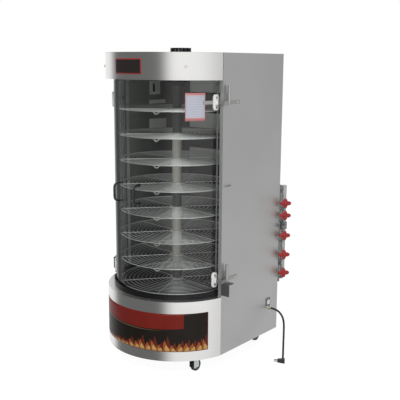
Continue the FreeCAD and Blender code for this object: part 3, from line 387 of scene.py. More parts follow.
GLASS_INSIDE = 328.6 * MM
GLASS_OUTSIDE = 333.6 * MM
GLASS_LOW = 445 * MM
GLASS_HIGH = 1512 * MM
print("grid tools ready")

# %% [markdown]
# Sheet steel is most of what shows.
# A brushed sheet has fine parallel scratches, so its roughness and a very small bump follow a noise that is
# stretched along the brushing: round the bands, and up and down the flat sides.


# %% Sheet finishes
BRUSH_DETAIL = 4.0
BRUSH_MIX = 0.65
BRUSH_DEPTH = 0.00002


def shaded(tone, share):
    return colour(*(share * v for v in tone))


def new_finish(name):
    """The Object coordinates of a fresh material, in metres, and a function that closes it with a shader."""
    material, flow = blank_material(name)
    place = flow.node("ShaderNodeTexCoord", None, None, "Object")

    def close(sockets):
        shader = flow.node("ShaderNodeBsdfPrincipled", None, sockets)
        flow.node("ShaderNodeOutputMaterial", None, {"Surface": shader})
        return material

    return place, close


def from_axis(place):
    """The x, y and z of a point, measured from the rotor axis."""
    return parts_of(stretched(place, (1, 1, 1), tuple(-AXIS)))


def about_axis(place):
    """Angle round the rotor axis from straight ahead, and height."""
    x, y, z = from_axis(place)
    return x.math("ARCTAN2", x, -y), z


def brushed_band(name, tone, rough):
    place, close = new_finish(name)
    angle, z = about_axis(place)
    lines = place.node("ShaderNodeCombineXYZ", None, {0: angle * 2.0, 1: z * 900.0, 2: 0.0})
    scratch = noise(lines, 1.0, BRUSH_DETAIL, BRUSH_MIX)
    cloud = noise(place, 3.0, 2.0)
    dull = blend(rise(cloud, 0.35, 0.7), colour(*tone), shaded(tone, 0.93))
    return close({"Base Color": dull, "Metallic": 1.0, "Roughness": rough + scratch * 0.09,
                  "Normal": bump(scratch, BRUSH_DEPTH, 0.25)})


def brushed_panel(name, tone, rough, scale, fold_at=None):
    """A flat brushed sheet; where it has a folded front edge, that edge is less mirror-like than the side."""
    place, close = new_finish(name)
    metal = 1.0
    if fold_at:
        metal = 1 - rise(-from_axis(place)[1], fold_at - 2 * MM, fold_at - 1 * MM) * 0.3
    scratch = noise(stretched(place, scale), 1.0, BRUSH_DETAIL, BRUSH_MIX)
    cloud = noise(place, 2.2, 2.0)
    dull = blend(rise(cloud, 0.3, 0.75), colour(*tone), shaded(tone, 0.94))
    return close({"Base Color": dull, "Metallic": metal, "Roughness": rough + scratch * 0.14,
                  "Normal": bump(scratch, BRUSH_DEPTH, 0.3)})


def galvanised(name, tone):
    """Zinc grains of a few millimetres, each a slightly different grey."""
    place, close = new_finish(name)
    grain = place.node("ShaderNodeTexVoronoi", None, {"Vector": place, "Scale": 95.0}, "Color")
    shade = parts_of(grain)[0]
    tint = blend(shade, shaded(tone, 0.84), colour(*tone))
    return close({"Base Color": tint, "Metallic": 0.85, "Roughness": 0.38 + shade * 0.16})


FOLD_FACE = 80 * MM
STEEL = (0.8, 0.795, 0.78)
band_steel = brushed_band("band_steel", STEEL, 0.2)
panel_steel = brushed_panel("panel_steel", (0.56, 0.565, 0.56), 0.36, (420.0, 420.0, 3.0), FOLD_FACE)
roof_steel = brushed_panel("roof_steel", (0.66, 0.66, 0.65), 0.32, (420.0, 3.0, 420.0))
zinc_sheet = galvanised("zinc_sheet", (0.5, 0.51, 0.51))
print("sheet finishes", band_steel.name, panel_steel.name, zinc_sheet.name)

# %% [markdown]
# Inside, heat has dulled the liners and burners.
# The liners are dark grey and are painted lighter higher up, as painted light against the shade that the hood
# casts, and a slow stain noise and the height together choose between the two tones. The burners' ceramic is
# pierced all over, which a grid of dots in the colour and bump shows.


# %% Chamber finishes
def stained_with_painted_light(name, lower_tone, painted_light_tone):
    place, close = new_finish(name)
    z = parts_of(place)[2]
    stain = noise(place, 5.0, 4.0, 0.6)
    # Painted light: the tone turns lighter with height in place of light that the hood shades off; stain
    # noise blurs it.
    stain_and_painted_light = rise(z + stain * 0.6, 0.9, 1.9)
    soot = noise(stretched(place, (9.0, 9.0, 1.2)), 1.0, 5.0, 0.7)
    return close({"Base Color": blend(stain_and_painted_light, colour(*lower_tone), colour(*painted_light_tone)), "Metallic": 0.35,
                  "Roughness": 0.45 + soot * 0.25, "Normal": bump(soot, 0.0004, 0.15)})


def pierced_ceramic(name, face, hole):
    """Dots on a square grid: the cosine of x times the cosine of z is highest at each hole."""
    place, close = new_finish(name)
    pitch = 7 * MM
    x, _, z = parts_of(place)
    bleach = rise(z, 0.75, 1.2)
    dots = x.math("COSINE", x * (math.tau / pitch)) * x.math("COSINE", z * (math.tau / pitch))
    holes = rise(dots, 0.35, 0.6)
    mottle = noise(place, 40.0, 3.0)
    ground = blend(mottle, colour(*face), shaded(face, 0.7))
    ground = blend(bleach, ground, shaded(face, 1.35))
    return close({"Base Color": blend(holes, ground, colour(*hole)), "Roughness": 0.9,
                  "Normal": bump(1 - holes, 0.0008, 0.6)})


liner_steel = stained_with_painted_light("liner_steel", (0.165, 0.17, 0.165), (0.36, 0.365, 0.35))
burner_ceramic = pierced_ceramic("burner_ceramic", (0.082, 0.08, 0.076), (0.03, 0.03, 0.03))
print("chamber finishes", liner_steel.name, burner_ceramic.name)

# %% [markdown]
# Two more pieces in the chamber change colour with height.
# The wall behind the burners is a little lighter between them than beside them, and a near-white painted
# reflection covers the part between them, growing with height to its full strength near the ceiling. The
# turning shaft is darker at its upper end, at one stretch in the middle and at its foot.
# Each is a smooth step.

# %% Burner wall and shaft
BURNER_ZONE = 205 * MM
ZONE_EDGE = 3 * MM
place, close = new_finish("burner_wall_steel")
x, _, z = from_axis(place)
stain = noise(place, 6.0, 4.0, 0.6)
zone = between(x, -BURNER_ZONE, BURNER_ZONE, ZONE_EDGE)
# Painted reflection: a near-white patch between the burners that grows with height towards the ceiling.
painted_reflection_patch = zone * rise(z + stain * 0.1, 0.75, 1.45)
plain = blend(zone, colour(0.105, 0.1, 0.1), colour(0.145, 0.142, 0.137))
burner_wall_steel = close({"Base Color": blend(painted_reflection_patch, plain, colour(0.85, 0.86, 0.82)),
                           "Metallic": 0.1, "Roughness": 0.45 + stain * 0.2})

SHAFT_DARK_ABOVE = 1.228
SHAFT_DARK_BAND = (0.832, 0.959)
SHAFT_DARK_BELOW = 0.558
SHAFT_FADE = 0.01
place, close = new_finish("shaft_steel")
z = parts_of(place)[2]
turned = noise(stretched(place, (40.0, 40.0, 700.0)), 1.0, 3.0)
# The shaft's colour is dark above one height, across one band and below another, and light elsewhere.
dark_top = rise(z, SHAFT_DARK_ABOVE, SHAFT_DARK_ABOVE + SHAFT_FADE)
dark_band = between(z, *SHAFT_DARK_BAND, 0.004)
dark_bottom = 1 - rise(z, SHAFT_DARK_BELOW, SHAFT_DARK_BELOW + SHAFT_FADE)
dark_share = place.math("MAXIMUM", dark_top, place.math("MAXIMUM", dark_band, dark_bottom))
shaft_steel = close({"Base Color": blend(dark_share, colour(0.47, 0.445, 0.41), colour(0.06, 0.06, 0.058)),
                     "Metallic": 0.1, "Roughness": 0.5 + turned * 0.16, "Normal": bump(turned, 0.00003, 0.3)})
print("shaft blackened above", SHAFT_DARK_ABOVE, "m, at the sleeve and below", SHAFT_DARK_BELOW, "m")

# %% [markdown]
# The other finishes are small areas, but each gets what its real surface shows.
# Moulded plastic has a fine grain, enamel has a slight orange peel under its gloss, plated wire is bright
# with small dull patches, rubber is matt and dusty, and glass is nearly invisible except where it is seen
# edge-on.


# %% Small-part finishes
def moulded(name, tone, rough, grain=900.0, depth=0.00006, coat=0.0):
    place, close = new_finish(name)
    grit = noise(place, grain, 2.0)
    wear = noise(place, 28.0, 3.0)
    tint = blend(wear, shaded(tone, 0.9), shaded(tone, 1.08))
    return close({"Base Color": tint, "Roughness": rough + wear * 0.1, "Coat Weight": coat,
                  "Normal": bump(grit, depth, 0.4)})


def plated(name, tone, rough, metal=1.0):
    place, close = new_finish(name)
    haze = noise(place, 60.0, 3.0)
    worn = blend(rise(haze, 0.45, 0.7), colour(*tone), shaded(tone, 0.88))
    return close({"Base Color": worn, "Metallic": metal, "Roughness": rough + haze * 0.12})


def enamel(name, tone, rough, shine=0.25):
    place, close = new_finish(name)
    peel = noise(place, 260.0, 2.0)
    dust = noise(place, 9.0, 4.0)
    tint = blend(rise(dust, 0.5, 0.8), colour(*tone), colour(*(v + 0.012 for v in tone)))
    return close({"Base Color": tint, "Roughness": rough + dust * 0.12, "Specular IOR Level": shine,
                  "Normal": bump(peel, 0.00008, 0.25)})


EDGE_ON = (0.55, 0.7)
OUTLINE = (0.72, 0.9)
MIRROR_SHARE = 0.05
OUTLINE_SHARE = 0.22


def door_glass(name):
    """Clear sheet, darker where it is seen edge-on, with a mirror share that grows towards its outline."""
    material, flow = blank_material(name)
    place = flow.node("ShaderNodeTexCoord", None, None, "Object")
    smear = noise(stretched(place, (14.0, 14.0, 2.0)), 1.0, 3.0)
    clear = flow.node("ShaderNodeBsdfTransparent", None, {"Color": colour(0.93, 0.94, 0.935)})
    smoky = flow.node("ShaderNodeBsdfTransparent", None, {"Color": colour(0.16, 0.18, 0.17)})
    facing = flow.node("ShaderNodeLayerWeight", None, {"Blend": 0.5}, "Facing")
    edge_on = rise(facing, *EDGE_ON)
    clear = flow.node("ShaderNodeMixShader", None, {0: edge_on, 1: clear, 2: smoky})
    mirror = flow.node("ShaderNodeBsdfGlossy", None, {"Color": colour(1, 1, 1), "Roughness": 0.02})
    share = flow.node("ShaderNodeFresnel", None, {"IOR": 1.35}) * 0.6 + smear * 0.01
    share = share.math("MINIMUM", share, MIRROR_SHARE) + rise(facing, *OUTLINE) * OUTLINE_SHARE
    both = flow.node("ShaderNodeMixShader", None, {0: share, 1: clear, 2: mirror})
    flow.node("ShaderNodeOutputMaterial", None, {"Surface": both})
    return material


black_enamel = enamel("black_enamel", (0.008, 0.008, 0.009), 0.3)
machine_paint = enamel("machine_paint", (0.1, 0.12, 0.14), 0.35)
chrome_wire = plated("chrome_wire", (0.68, 0.68, 0.67), 0.46, 0.55)
dark_steel = plated("dark_steel", (0.22, 0.22, 0.22), 0.35)
screw_steel = plated("screw_steel", (0.6, 0.6, 0.59), 0.42, 0.6)
zinc_plate = plated("zinc_plate", (0.66, 0.67, 0.69), 0.26)
pipe_zinc = galvanised("pipe_zinc", (0.5, 0.5, 0.49))
valve_nickel = plated("valve_nickel", (0.62, 0.58, 0.48), 0.22)
feed_steel = plated("feed_steel", (0.36, 0.36, 0.35), 0.35)
red_plastic = moulded("red_plastic", (0.31, 0.009, 0.012), 0.38, coat=0.1)
white_plastic = moulded("white_plastic", (0.78, 0.78, 0.76), 0.35)
grey_plastic = moulded("grey_plastic", (0.15, 0.15, 0.165), 0.4)
black_plastic = moulded("black_plastic", (0.012, 0.012, 0.012), 0.28, coat=0.15)
plug_plastic = moulded("plug_plastic", (0.014, 0.014, 0.014), 0.42, 500.0)
lead_rubber = moulded("lead_rubber", (0.013, 0.013, 0.013), 0.5, 400.0)
tyre_rubber = moulded("tyre_rubber", (0.018, 0.018, 0.018), 0.55, 300.0, 0.0001)
glass = door_glass("door_glass")
power_lead.data.materials.append(lead_rubber)

FINISHES = {
    band_steel: ("hood_band", "base_skirt"),
    panel_steel: ("left_side_panel", "right_side_panel"),
    roof_steel: ("top_panel", "deck_plate"),
    zinc_sheet: ("rear_panel", "base_floor"),
    shaft_steel: ("rotor_shaft", "output_shaft", "drive_coupling", "shaft_bearings"),
    liner_steel: ("chamber_ceiling", "side_liners", "burner_housings"),
    burner_wall_steel: ("burner_wall",),
    burner_ceramic: ("burner_tiles",),
    black_enamel: ("drip_tray", "flue_collar"),
    machine_paint: ("motor_bracket", "gearmotor"),
    chrome_wire: tuple(f"rack_{index}" for index in range(1, 9)),
    dark_steel: ("gas_inlet",),
    screw_steel: ("casing_screws",),
    zinc_plate: ("caster_mounts",) + tuple(name for name in NODES if name.startswith("caster_fork")),
    pipe_zinc: ("gas_manifold",),
    valve_nickel: ("valve_bodies", "cord_gland"),
    feed_steel: ("feed_tubes",),
    red_plastic: tuple(f"valve_handle_{index}" for index in range(1, 6)),
    white_plastic: ("switch_rocker",),
    grey_plastic: ("switch_housing",),
    black_plastic: ("right_door_handle", "left_door_handle"),
    plug_plastic: ("power_plug",),
    lead_rubber: ("power_cord",),
    tyre_rubber: tuple(name for name in NODES if name.startswith("caster_wheel")),
    glass: ("right_door_glass", "left_door_glass"),
}


def dress(node, finish):
    NODES[node].data.materials.clear()
    NODES[node].data.materials.append(finish)


for finish, nodes in FINISHES.items():
    for node in nodes:
        dress(node, finish)
print("dressed", sum(len(nodes) for nodes in FINISHES.values()), "nodes with", len(FINISHES), "finishes")

# %% [markdown]
# The hinge arms and brackets are plain grey steel, but the angle under each lower hinge is dark.
# One node holds the brackets and these angles, so its finish chooses by height, and the lower straps inside
# the clamps are darker.

# %% Hinges
SHELF_TOP = 0.4863
CLAMPS = (("right", 75.6), ("left", -50.0))
CLAMP_HALF = math.radians(2.7)
CLAMP_TALL = 37 * MM
CLAMP_SCREW = 25 * MM

place, close = new_finish("hinge_bracket_steel")
z = parts_of(place)[2]
upper = rise(z, SHELF_TOP, SHELF_TOP + 0.001)
grain = noise(place, 120.0, 3.0)
bracket_steel = close({"Base Color": blend(upper, colour(0.07, 0.073, 0.073), colour(0.42, 0.42, 0.41)),
                       "Metallic": upper * 0.9, "Roughness": 0.34 + grain * 0.14})
dress("hinge_brackets", bracket_steel)

STRAP_END = math.radians(72.6)
place, close = new_finish("hinge_arm_steel")
angle, z = about_axis(place)
# The strap inside each lower clamp, below the height of 0.6 to 0.7 m, is darker.
dark_lower_strap = between(angle, 0, STRAP_END, 0.004) * (1 - rise(z, 0.6, 0.7))
grain = noise(stretched(place, (60.0, 60.0, 500.0)), 1.0, 4.0, 0.65)
arm_steel = close({"Base Color": blend(dark_lower_strap, colour(0.36, 0.36, 0.355), colour(0.05, 0.05, 0.05)),
                   "Metallic": 0.6, "Roughness": 0.34 + grain * 0.14,
                   "Normal": bump(grain, BRUSH_DEPTH, 0.3)})
for side, _ in CLAMPS:
    dress(f"{side}_door_hinge_arms", arm_steel)
print("hinge finishes", bracket_steel.name, arm_steel.name)

# %% [markdown]
# The racks are welded from round wire, which a flat plate can't show.
# Each one is a thick rim, evenly spaced rings, six spokes laid under them and a plate at the hub. A ring is
# a torus and a spoke is a short tube, so one rack is a handful of grids joined into one mesh, and the same
# grids serve all eight at their own levels.

# %% Wire racks
RACK_COUNT = 8
RIM_RADIUS = 308 * MM
RIM_WIRE = 3.0 * MM
RING_WIRE = 1.25 * MM
SPOKE_WIRE = 1.9 * MM
HUB_EDGE = 36 * MM
RING_COUNT = 11
SPOKE_COUNT = 6
PEG_ANGLE = 21.5
HOOK_HALF = 3.4
HOOK_DROP = 14 * MM
HUB_BORE = 25.2 * MM
HUB_LIP = 3 * MM
HUB_HALF = 2 * MM
END_STEP = 1e-5


def wire_rack(level):
    """Rim, rings, spokes, hub plate and the hook that hangs under the rim of one rack at its level."""
    pitch = (RIM_RADIUS - HUB_EDGE) / (RING_COUNT + 1)
    surfaces = [wire_ring(RIM_RADIUS, RIM_WIRE, level)]
    surfaces += [wire_ring(HUB_EDGE + pitch * (index + 1), RING_WIRE, level + RING_WIRE, 96, 6)
                 for index in range(RING_COUNT)]
    for index in range(SPOKE_COUNT):
        out = around(PEG_ANGLE + 360 * index / SPOKE_COUNT)
        ends = np.array([HUB_EDGE * 0.9, HUB_EDGE * 0.9, RIM_RADIUS, RIM_RADIUS])
        path = ends[:, None] * out + np.array((0, 0, level - SPOKE_WIRE * 0.4))
        path[0] -= out * END_STEP
        path[-1] += out * END_STEP
        surfaces.append(tube(path, (0, SPOKE_WIRE, SPOKE_WIRE, 0), (0, 0, 1), 8))
    lip = HUB_EDGE + HUB_LIP
    plate = ((-HUB_HALF, HUB_BORE), (-HUB_HALF, lip), (HUB_HALF, lip), (HUB_HALF, HUB_BORE),
             (-HUB_HALF, HUB_BORE))
    surfaces.append(lathe(plate, (0, 0, level), (0, 0, 1), 64))
    turn = np.linspace(-1, 1, 13)
    sag = level - HOOK_DROP * (1 - np.abs(turn) ** 1.5)
    ahead = np.stack([around(PEG_ANGLE + HOOK_HALF * share) for share in turn])
    hook = ahead * RIM_RADIUS + np.stack([0 * sag, 0 * sag, sag], -1)
    wire = np.full(len(turn), RIM_WIRE * 0.8)
    wire[[0, -1]] = 0
    surfaces.append(tube(hook, wire, around(PEG_ANGLE), 8))
    return surfaces


for index in range(1, RACK_COUNT + 1):
    _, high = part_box(f"rack_{index}")
    level = high.z - HUB_HALF
    rack = make_piece(f"wire_rack_{index}", wire_rack(level), "rotor", chrome_wire)
    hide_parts(f"rack_{index}")
print("racks", RACK_COUNT, "with", RING_COUNT + 1, "rings each")

# %% [markdown]
# A door handle is a moulded bow.
# Its line is half of a superellipse, square enough to look like two legs and a bar but with round
# shoulders, and a round section that thickens a little in the middle is carried along it. A pad sits at
# each foot.

# %% Door handles
HANDLE_LEVEL = 946 * MM
HANDLE_HALF = 46 * MM
HANDLE_REACH = 46 * MM
HANDLE_SQUARENESS = 5.0
HANDLE_BAR = 5.2 * MM
HANDLE_SWELL = 1.1 * MM
HANDLE_SEAT = GLASS_OUTSIDE + 0.4 * MM
HANDLE_PAD = np.array(((0, 0), (0, 9), (2.6, 9), (3.6, 8.2), (4, 7), (4, 0))) * MM


def bow_handle(angle):
    """Along s from 0 to pi the line stands reach (sin s)^(2/n) off the glass and half (cos s)^(2/n) from
    the middle."""
    out = around(angle)
    s = np.linspace(0, math.pi, 61)
    reach = HANDLE_REACH * np.sin(s) ** (2 / HANDLE_SQUARENESS)
    rise_by = HANDLE_HALF * np.sign(np.cos(s)) * np.abs(np.cos(s)) ** (2 / HANDLE_SQUARENESS)
    path = (HANDLE_SEAT + reach)[:, None] * out + np.stack([0 * s, 0 * s, HANDLE_LEVEL + rise_by], -1)
    radii = HANDLE_BAR + HANDLE_SWELL * np.sin(s) ** 2
    radii[0] = radii[-1] = 0
    surfaces = [tube(path, radii, np.cross(out, (0, 0, 1)), 16)]
    for side in (-1, 1):
        seat = out * HANDLE_SEAT + np.array((0, 0, HANDLE_LEVEL + side * HANDLE_HALF))
        surfaces.append(lathe(HANDLE_PAD, seat, out, 24))
    return surfaces


for door, angle in (("right_door", 6.0), ("left_door", -17.0)):
    handle = make_piece(f"{door}_bow", bow_handle(angle), door, black_plastic)
    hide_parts(f"{door}_handle")
print("door handles 2")

# %% [markdown]
# The glass is held by white caps over the clamp plates.
# A cap is a rounded pad bent to the glass: across, up and out it follows one superellipse, so its corners
# are soft and its face is slightly crowned. Two dark screw heads sit in its face. On the right, where the
# arm starts at the clamp itself, a boot of the same plastic covers its root.

# %% Clamp caps
CAP_THICK = 10 * MM
CAP_TALL = 40 * MM
CAP_GAP = 0.3 * MM
CAP_SPREAD = 1.08
CAP_INSET = 0.14
cap_white = moulded("cap_white", (0.84, 0.84, 0.83), 0.3)
arms_low, arms_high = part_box("right_door_hinge_arms")
hinge_levels = (arms_low.z + CLAMP_TALL, arms_high.z - CLAMP_TALL)


def clamp_cap(angle, level):
    """Angle b and share t: the outline is a superellipse of half angle against half height, and t carries
    it from the glass to the face, shrinking by (1 - t^4)^(1/4)."""
    b = np.linspace(0, math.tau, 40, endpoint=False)[None, :]
    t = np.array((0.0, 0.0, 0.45, 0.75, 0.92, 0.99, 1.0))[:, None]
    shrink = (1 - t ** 4) ** 0.25
    shrink[0] = 0
    inset = np.where(shrink == 0, 0, 1 - CAP_INSET + CAP_INSET * shrink)
    aside = np.sign(np.cos(b)) * np.abs(np.cos(b)) ** 0.5
    turn = math.radians(angle) + CLAMP_HALF * CAP_SPREAD * inset * aside
    z = level + CAP_TALL * inset * np.sign(np.sin(b)) * np.abs(np.sin(b)) ** 0.5
    r = GLASS_OUTSIDE + CAP_GAP + CAP_THICK * t
    points = np.stack([r * np.sin(turn), -r * np.cos(turn), z], -1)
    return points.reshape(-1, 3), grid_faces(len(t), b.shape[1], False, True)


BOOT_MIDDLE = np.array((333.5, -91.5)) * MM
BOOT_HALF = np.array((15.5, 7.0, 13.0)) * MM


def arm_boot(level):
    """A rounded block over the arm's root: a superellipse in plan, drawn in towards its top and bottom."""
    b = np.linspace(0, math.tau, 32, endpoint=False)[None, :]
    t = np.linspace(-1, 1, 13)[:, None]
    shrink = (1 - np.abs(t) ** 6) ** (1 / 3)
    x = BOOT_MIDDLE[0] + BOOT_HALF[0] * shrink * np.sign(np.cos(b)) * np.abs(np.cos(b)) ** 0.5
    y = BOOT_MIDDLE[1] + BOOT_HALF[1] * shrink * np.sign(np.sin(b)) * np.abs(np.sin(b)) ** 0.5
    z = level + BOOT_HALF[2] * t + 0 * b
    return np.stack([x, y, z], -1).reshape(-1, 3), grid_faces(len(t), b.shape[1], False, True)


SCREW_HEAD = np.array(((0, 0), (0, 4.6), (1.2, 4.6), (1.9, 3.6), (2.1, 0))) * MM
SCREW_SINK = 0.4 * MM
for side, clamp_angle in CLAMPS:
    out = around(clamp_angle)
    caps = [clamp_cap(clamp_angle, level) for level in hinge_levels]
    if side == "right":
        caps += [arm_boot(level) for level in hinge_levels]
    make_piece(f"{side}_clamp_caps", caps, f"{side}_door", cap_white, 50)
    seat = out * (GLASS_OUTSIDE + CAP_THICK - SCREW_SINK)
    heads = [lathe(SCREW_HEAD, seat + np.array((0, 0, level + step)), out, 20)
             for level in hinge_levels for step in (-CLAMP_SCREW, CLAMP_SCREW)]
    make_piece(f"{side}_cap_screws", heads, f"{side}_door", dark_steel, 35)
print("clamp caps", 2 * len(CLAMPS), "at", [round(level, 3) for level in hinge_levels])

# %% [markdown]
# Each gas valve has a red cross handle.
# It is a solid with four rounded lobes: the radius is a wave round the stem, raised to a power so that the
# lobes are full and the waists tight, and a rounded profile closes it front and back.

# %% Valve handles
VALVE_PLACE = np.array((371, 496, 0)) * MM
VALVE_OUT = np.array((math.sqrt(0.5), -math.sqrt(0.5), 0))
VALVE_LEVELS = (829, 759, 644, 532, 425)
LOBE_ACROSS = 33 * MM
LOBE_UP = 28 * MM
LOBE_FULLNESS = 1.3
KNOB_WAIST = 17 * MM
KNOB_HUB = 28 * MM
HANDLE_START = 40.8 * MM
PROFILE = np.array(((0, 0), (0, 0.8), (1.2, 0.93), (3, 1.0), (8, 1.0), (10, 0.92), (11, 0.78), (11.6, 0.42),
                    (14, 0.36), (16.4, 0.34), (17.6, 0.26), (17.8, 0)))


def cross_handle(level):
    """Round the stem at angle a the radius is waist + (lobe - waist) |cos 2a|^1.3, scaled by the
    profile's share."""
    a = np.linspace(0, math.tau, 96, endpoint=False)
    swell = np.abs(np.cos(2 * a)) ** LOBE_FULLNESS
    lobe = np.where(np.abs(np.cos(a)) > math.sqrt(0.5), LOBE_ACROSS, LOBE_UP)
    reach = KNOB_WAIST + (lobe - KNOB_WAIST) * swell
    share = PROFILE[:, 1:]
    radius = share * np.where(share > 0.5, reach, KNOB_HUB)
    sideways = np.cross(VALVE_OUT, (0, 0, 1))
    centre = VALVE_PLACE + np.array((0, 0, level * MM))
    points = (centre + (HANDLE_START + PROFILE[:, :1] * MM)[:, :, None] * VALVE_OUT
              + (radius * np.cos(a))[:, :, None] * sideways
              + (radius * np.sin(a))[:, :, None] * np.array((0, 0, 1.0)))
    return points.reshape(-1, 3), grid_faces(len(PROFILE), len(a), False, True)


for index, level in enumerate(VALVE_LEVELS, start=1):
    knob = make_piece(f"valve_cross_{index}", [cross_handle(level)], f"valve_handle_{index}",
                      red_plastic)
    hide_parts(f"valve_handle_{index}")
print("valve handles", len(VALVE_LEVELS))

# %% [markdown]
# A caster wheel is a tyre on a moulded hub.
# Both are turned profiles about the axle; the hub is dished and carries a bolt head on each side.

# %% Caster wheels
hub_plastic = moulded("hub_plastic", (0.34, 0.34, 0.36), 0.4)
HALF_TYRE = np.array(((-9.5, 20.5), (-11.4, 24), (-11.6, 27), (-10.2, 30), (-7, 31.6), (0, 32))) * MM
HALF_HUB = np.array(((-9.5, 20.6), (-9.5, 18.8), (-7.4, 17.6), (-7, 11), (-11, 9.5), (-11.8, 8.4),
                     (-11.8, 4.2))) * MM


def both_sides(half, skip):
    """A half profile and its mirror image, less the points that they share, closed at the start."""
    other = half[::-1][skip:] * (-1, 1)
    return np.concatenate([half, other, half[:1]])


TYRE = both_sides(HALF_TYRE, 1)
HUB = both_sides(HALF_HUB, 0)
CASTERS = ("front_right", "front_left", "rear_right", "rear_left")
for name in CASTERS:
    low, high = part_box(f"caster_wheel_{name}")
    centre = np.array((low + high) / 2 - AXIS)
    tyre = make_piece(f"tyre_{name}", [lathe(TYRE, centre, (1, 0, 0), 64)],
                      f"wheel_{name}", tyre_rubber, 30)
    hub = make_piece(f"wheel_hub_{name}", [lathe(HUB, centre, (1, 0, 0), 64)],
                     f"wheel_{name}", hub_plastic, 30)
    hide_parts(f"caster_wheel_{name}")
print("caster wheels", len(CASTERS))

# %% [markdown]
# The skirt carries a printed film.
# It is drawn here as plain decoration of the maker's own: black ground, a red ribbon with a waved edge
# along the top and a row of flames along the foot. The film's UV map is in metres along the arc and up, so
# every shape is written as a sum of waves, and Solidify gives the film its thickness.

# %% Printed film on the skirt
SKIRT_RADIUS = 379 * MM
FILM_LOW = 142 * MM
FILM_HIGH = 346 * MM
FILM_START = -66
FILM_END = 66
FILM_GAP = 0.1 * MM


def film_piece(name, radius, start, end, low, high, body, finish, thick, columns=96):
    points, faces, uv = arc_sheet(radius, start, end, low, high, columns)
    made = make_piece(name, [(points, faces)], body, finish, uv=uv)
    wall = made.modifiers.new("thickness", "SOLIDIFY")
    wall.thickness = thick
    wall.offset = 1
    return made


def film_sheet(name):
    """A fresh material, its Flow and its UV map in metres."""
    material, flow = blank_material(name)
    return material, flow, flow.node("ShaderNodeTexCoord", None, None, "UV")


FILM_WIDE = SKIRT_RADIUS * math.radians(FILM_END - FILM_START)
FILM_TALL = FILM_HIGH - FILM_LOW
TONGUE_WIDE = 34 * MM
RIBBON_TALL = 80.5 * MM
RIBBON_EDGE = 0.5 * MM
RIBBON_END = FILM_WIDE * 0.85
RIBBON_FADE = FILM_WIDE * 0.001
GOLD_LOW = FILM_TALL - 88.5 * MM
GOLD_HIGH = FILM_TALL - 86.5 * MM
TRIM = 3 * MM


def tongues(u, v, shift, height):
    """Flames in a row: each cell has its own height, sways as it climbs and narrows to a point."""
    cell = u / TONGUE_WIDE + shift
    number = cell.math("FLOOR", cell)
    chance = number.node("ShaderNodeTexWhiteNoise", {"noise_dimensions": "1D"}, {"W": number})
    climb = v / (height * (0.55 + chance * 0.45))
    sway = u.math("SINE", climb * 3.4 + chance * 6.0) * climb * 0.32
    aside = u.math("ABSOLUTE", (cell - number) * 2 - 1 + sway)
    width = (1 - climb) * (0.72 + climb * 0.9)
    return rise(width - aside, -0.02, 0.03), climb


film, flow, uv = film_sheet("skirt_film")
u, v, _ = parts_of(uv)
ripple = noise(stretched(uv, (9.0, 5.0, 1.0)), 1.0, 3.0)
edge_wave = u.math("SINE", u * 9.0) * 0.005
ribbon_low = FILM_TALL - RIBBON_TALL
ribbon = rise(v - edge_wave, ribbon_low - RIBBON_EDGE, ribbon_low + RIBBON_EDGE)
ribbon = ribbon * (1 - rise(u, RIBBON_END - RIBBON_FADE, RIBBON_END + RIBBON_FADE))
gold_line = between(v - edge_wave, GOLD_LOW, GOLD_HIGH, 0.4 * MM) * (1 - rise(u, 0.4, 0.7))
red = blend(ripple, colour(0.14, 0.009, 0.006), colour(0.2, 0.018, 0.012))
picture = blend(ripple, colour(0.01, 0.007, 0.006), colour(0.02, 0.015, 0.012))
height = 0.02 + rise(u, FILM_WIDE * 0.2, FILM_WIDE * 0.75) * 0.075
for shift, share, ember in ((0.0, 1.0, (0.11, 0.02, 0.012)), (0.45, 0.72, (0.3, 0.085, 0.02)),
                            (0.2, 0.42, (0.48, 0.29, 0.1))):
    flame, climb = tongues(u, v, shift, height * share)
    picture = blend(flame, picture, blend(climb, shaded(ember, 1.25), colour(*ember)))
picture = blend(gold_line, picture, colour(0.3, 0.2, 0.1))
picture = blend(ribbon, picture, red)
trim = rise(v, TRIM - RIBBON_EDGE, TRIM) * (1 - rise(u, FILM_WIDE - TRIM, FILM_WIDE - TRIM + RIBBON_EDGE))
picture = blend(trim, colour(0.2, 0.016, 0.016), picture)
vinyl = flow.node("ShaderNodeBsdfPrincipled", None,
                  {"Base Color": picture, "Roughness": 0.34 + ripple * 0.08, "Specular IOR Level": 0.12})
flow.node("ShaderNodeOutputMaterial", None, {"Surface": vinyl})
film_piece("skirt_film", SKIRT_RADIUS + FILM_GAP, FILM_START, FILM_END, FILM_LOW, FILM_HIGH,
           "cabinet", film, thick=0.3 * MM)
print("film", round(FILM_WIDE, 3), "by", round(FILM_TALL, 3), "m")

# %% [markdown]
# The hood has a small enamelled plate, left blank, with a red border.
# A sticker on the right door is a pale panel between two red bars. Both are bent sheets like the film.

# %% Plate and sticker
HOOD_RADIUS = 374 * MM
badge, flow, uv = film_sheet("hood_plate")
u, v, _ = parts_of(uv)
BADGE_HALF = 13.5
BADGE_LOW = 1545 * MM
BADGE_HIGH = 1621 * MM
BADGE_WIDE = HOOD_RADIUS * math.radians(2 * BADGE_HALF)
BADGE_TALL = BADGE_HIGH - BADGE_LOW
BORDER = 5.5 * MM
BORDER_EDGE = 0.3 * MM
field = (between(u, BORDER, BADGE_WIDE - BORDER, BORDER_EDGE)
         * between(v, BORDER, BADGE_TALL - BORDER, BORDER_EDGE))
mottle = noise(uv, 60.0, 3.0)
dark = blend(mottle, colour(0.019, 0.015, 0.014), colour(0.024, 0.019, 0.018))
plate_shader = flow.node("ShaderNodeBsdfPrincipled", None,
                         {"Base Color": blend(field, colour(0.3, 0.03, 0.03), dark),
                          "Roughness": 0.3 + mottle * 0.06, "Specular IOR Level": 0.3,
                          "Normal": bump(field, 0.0006, 0.5)})
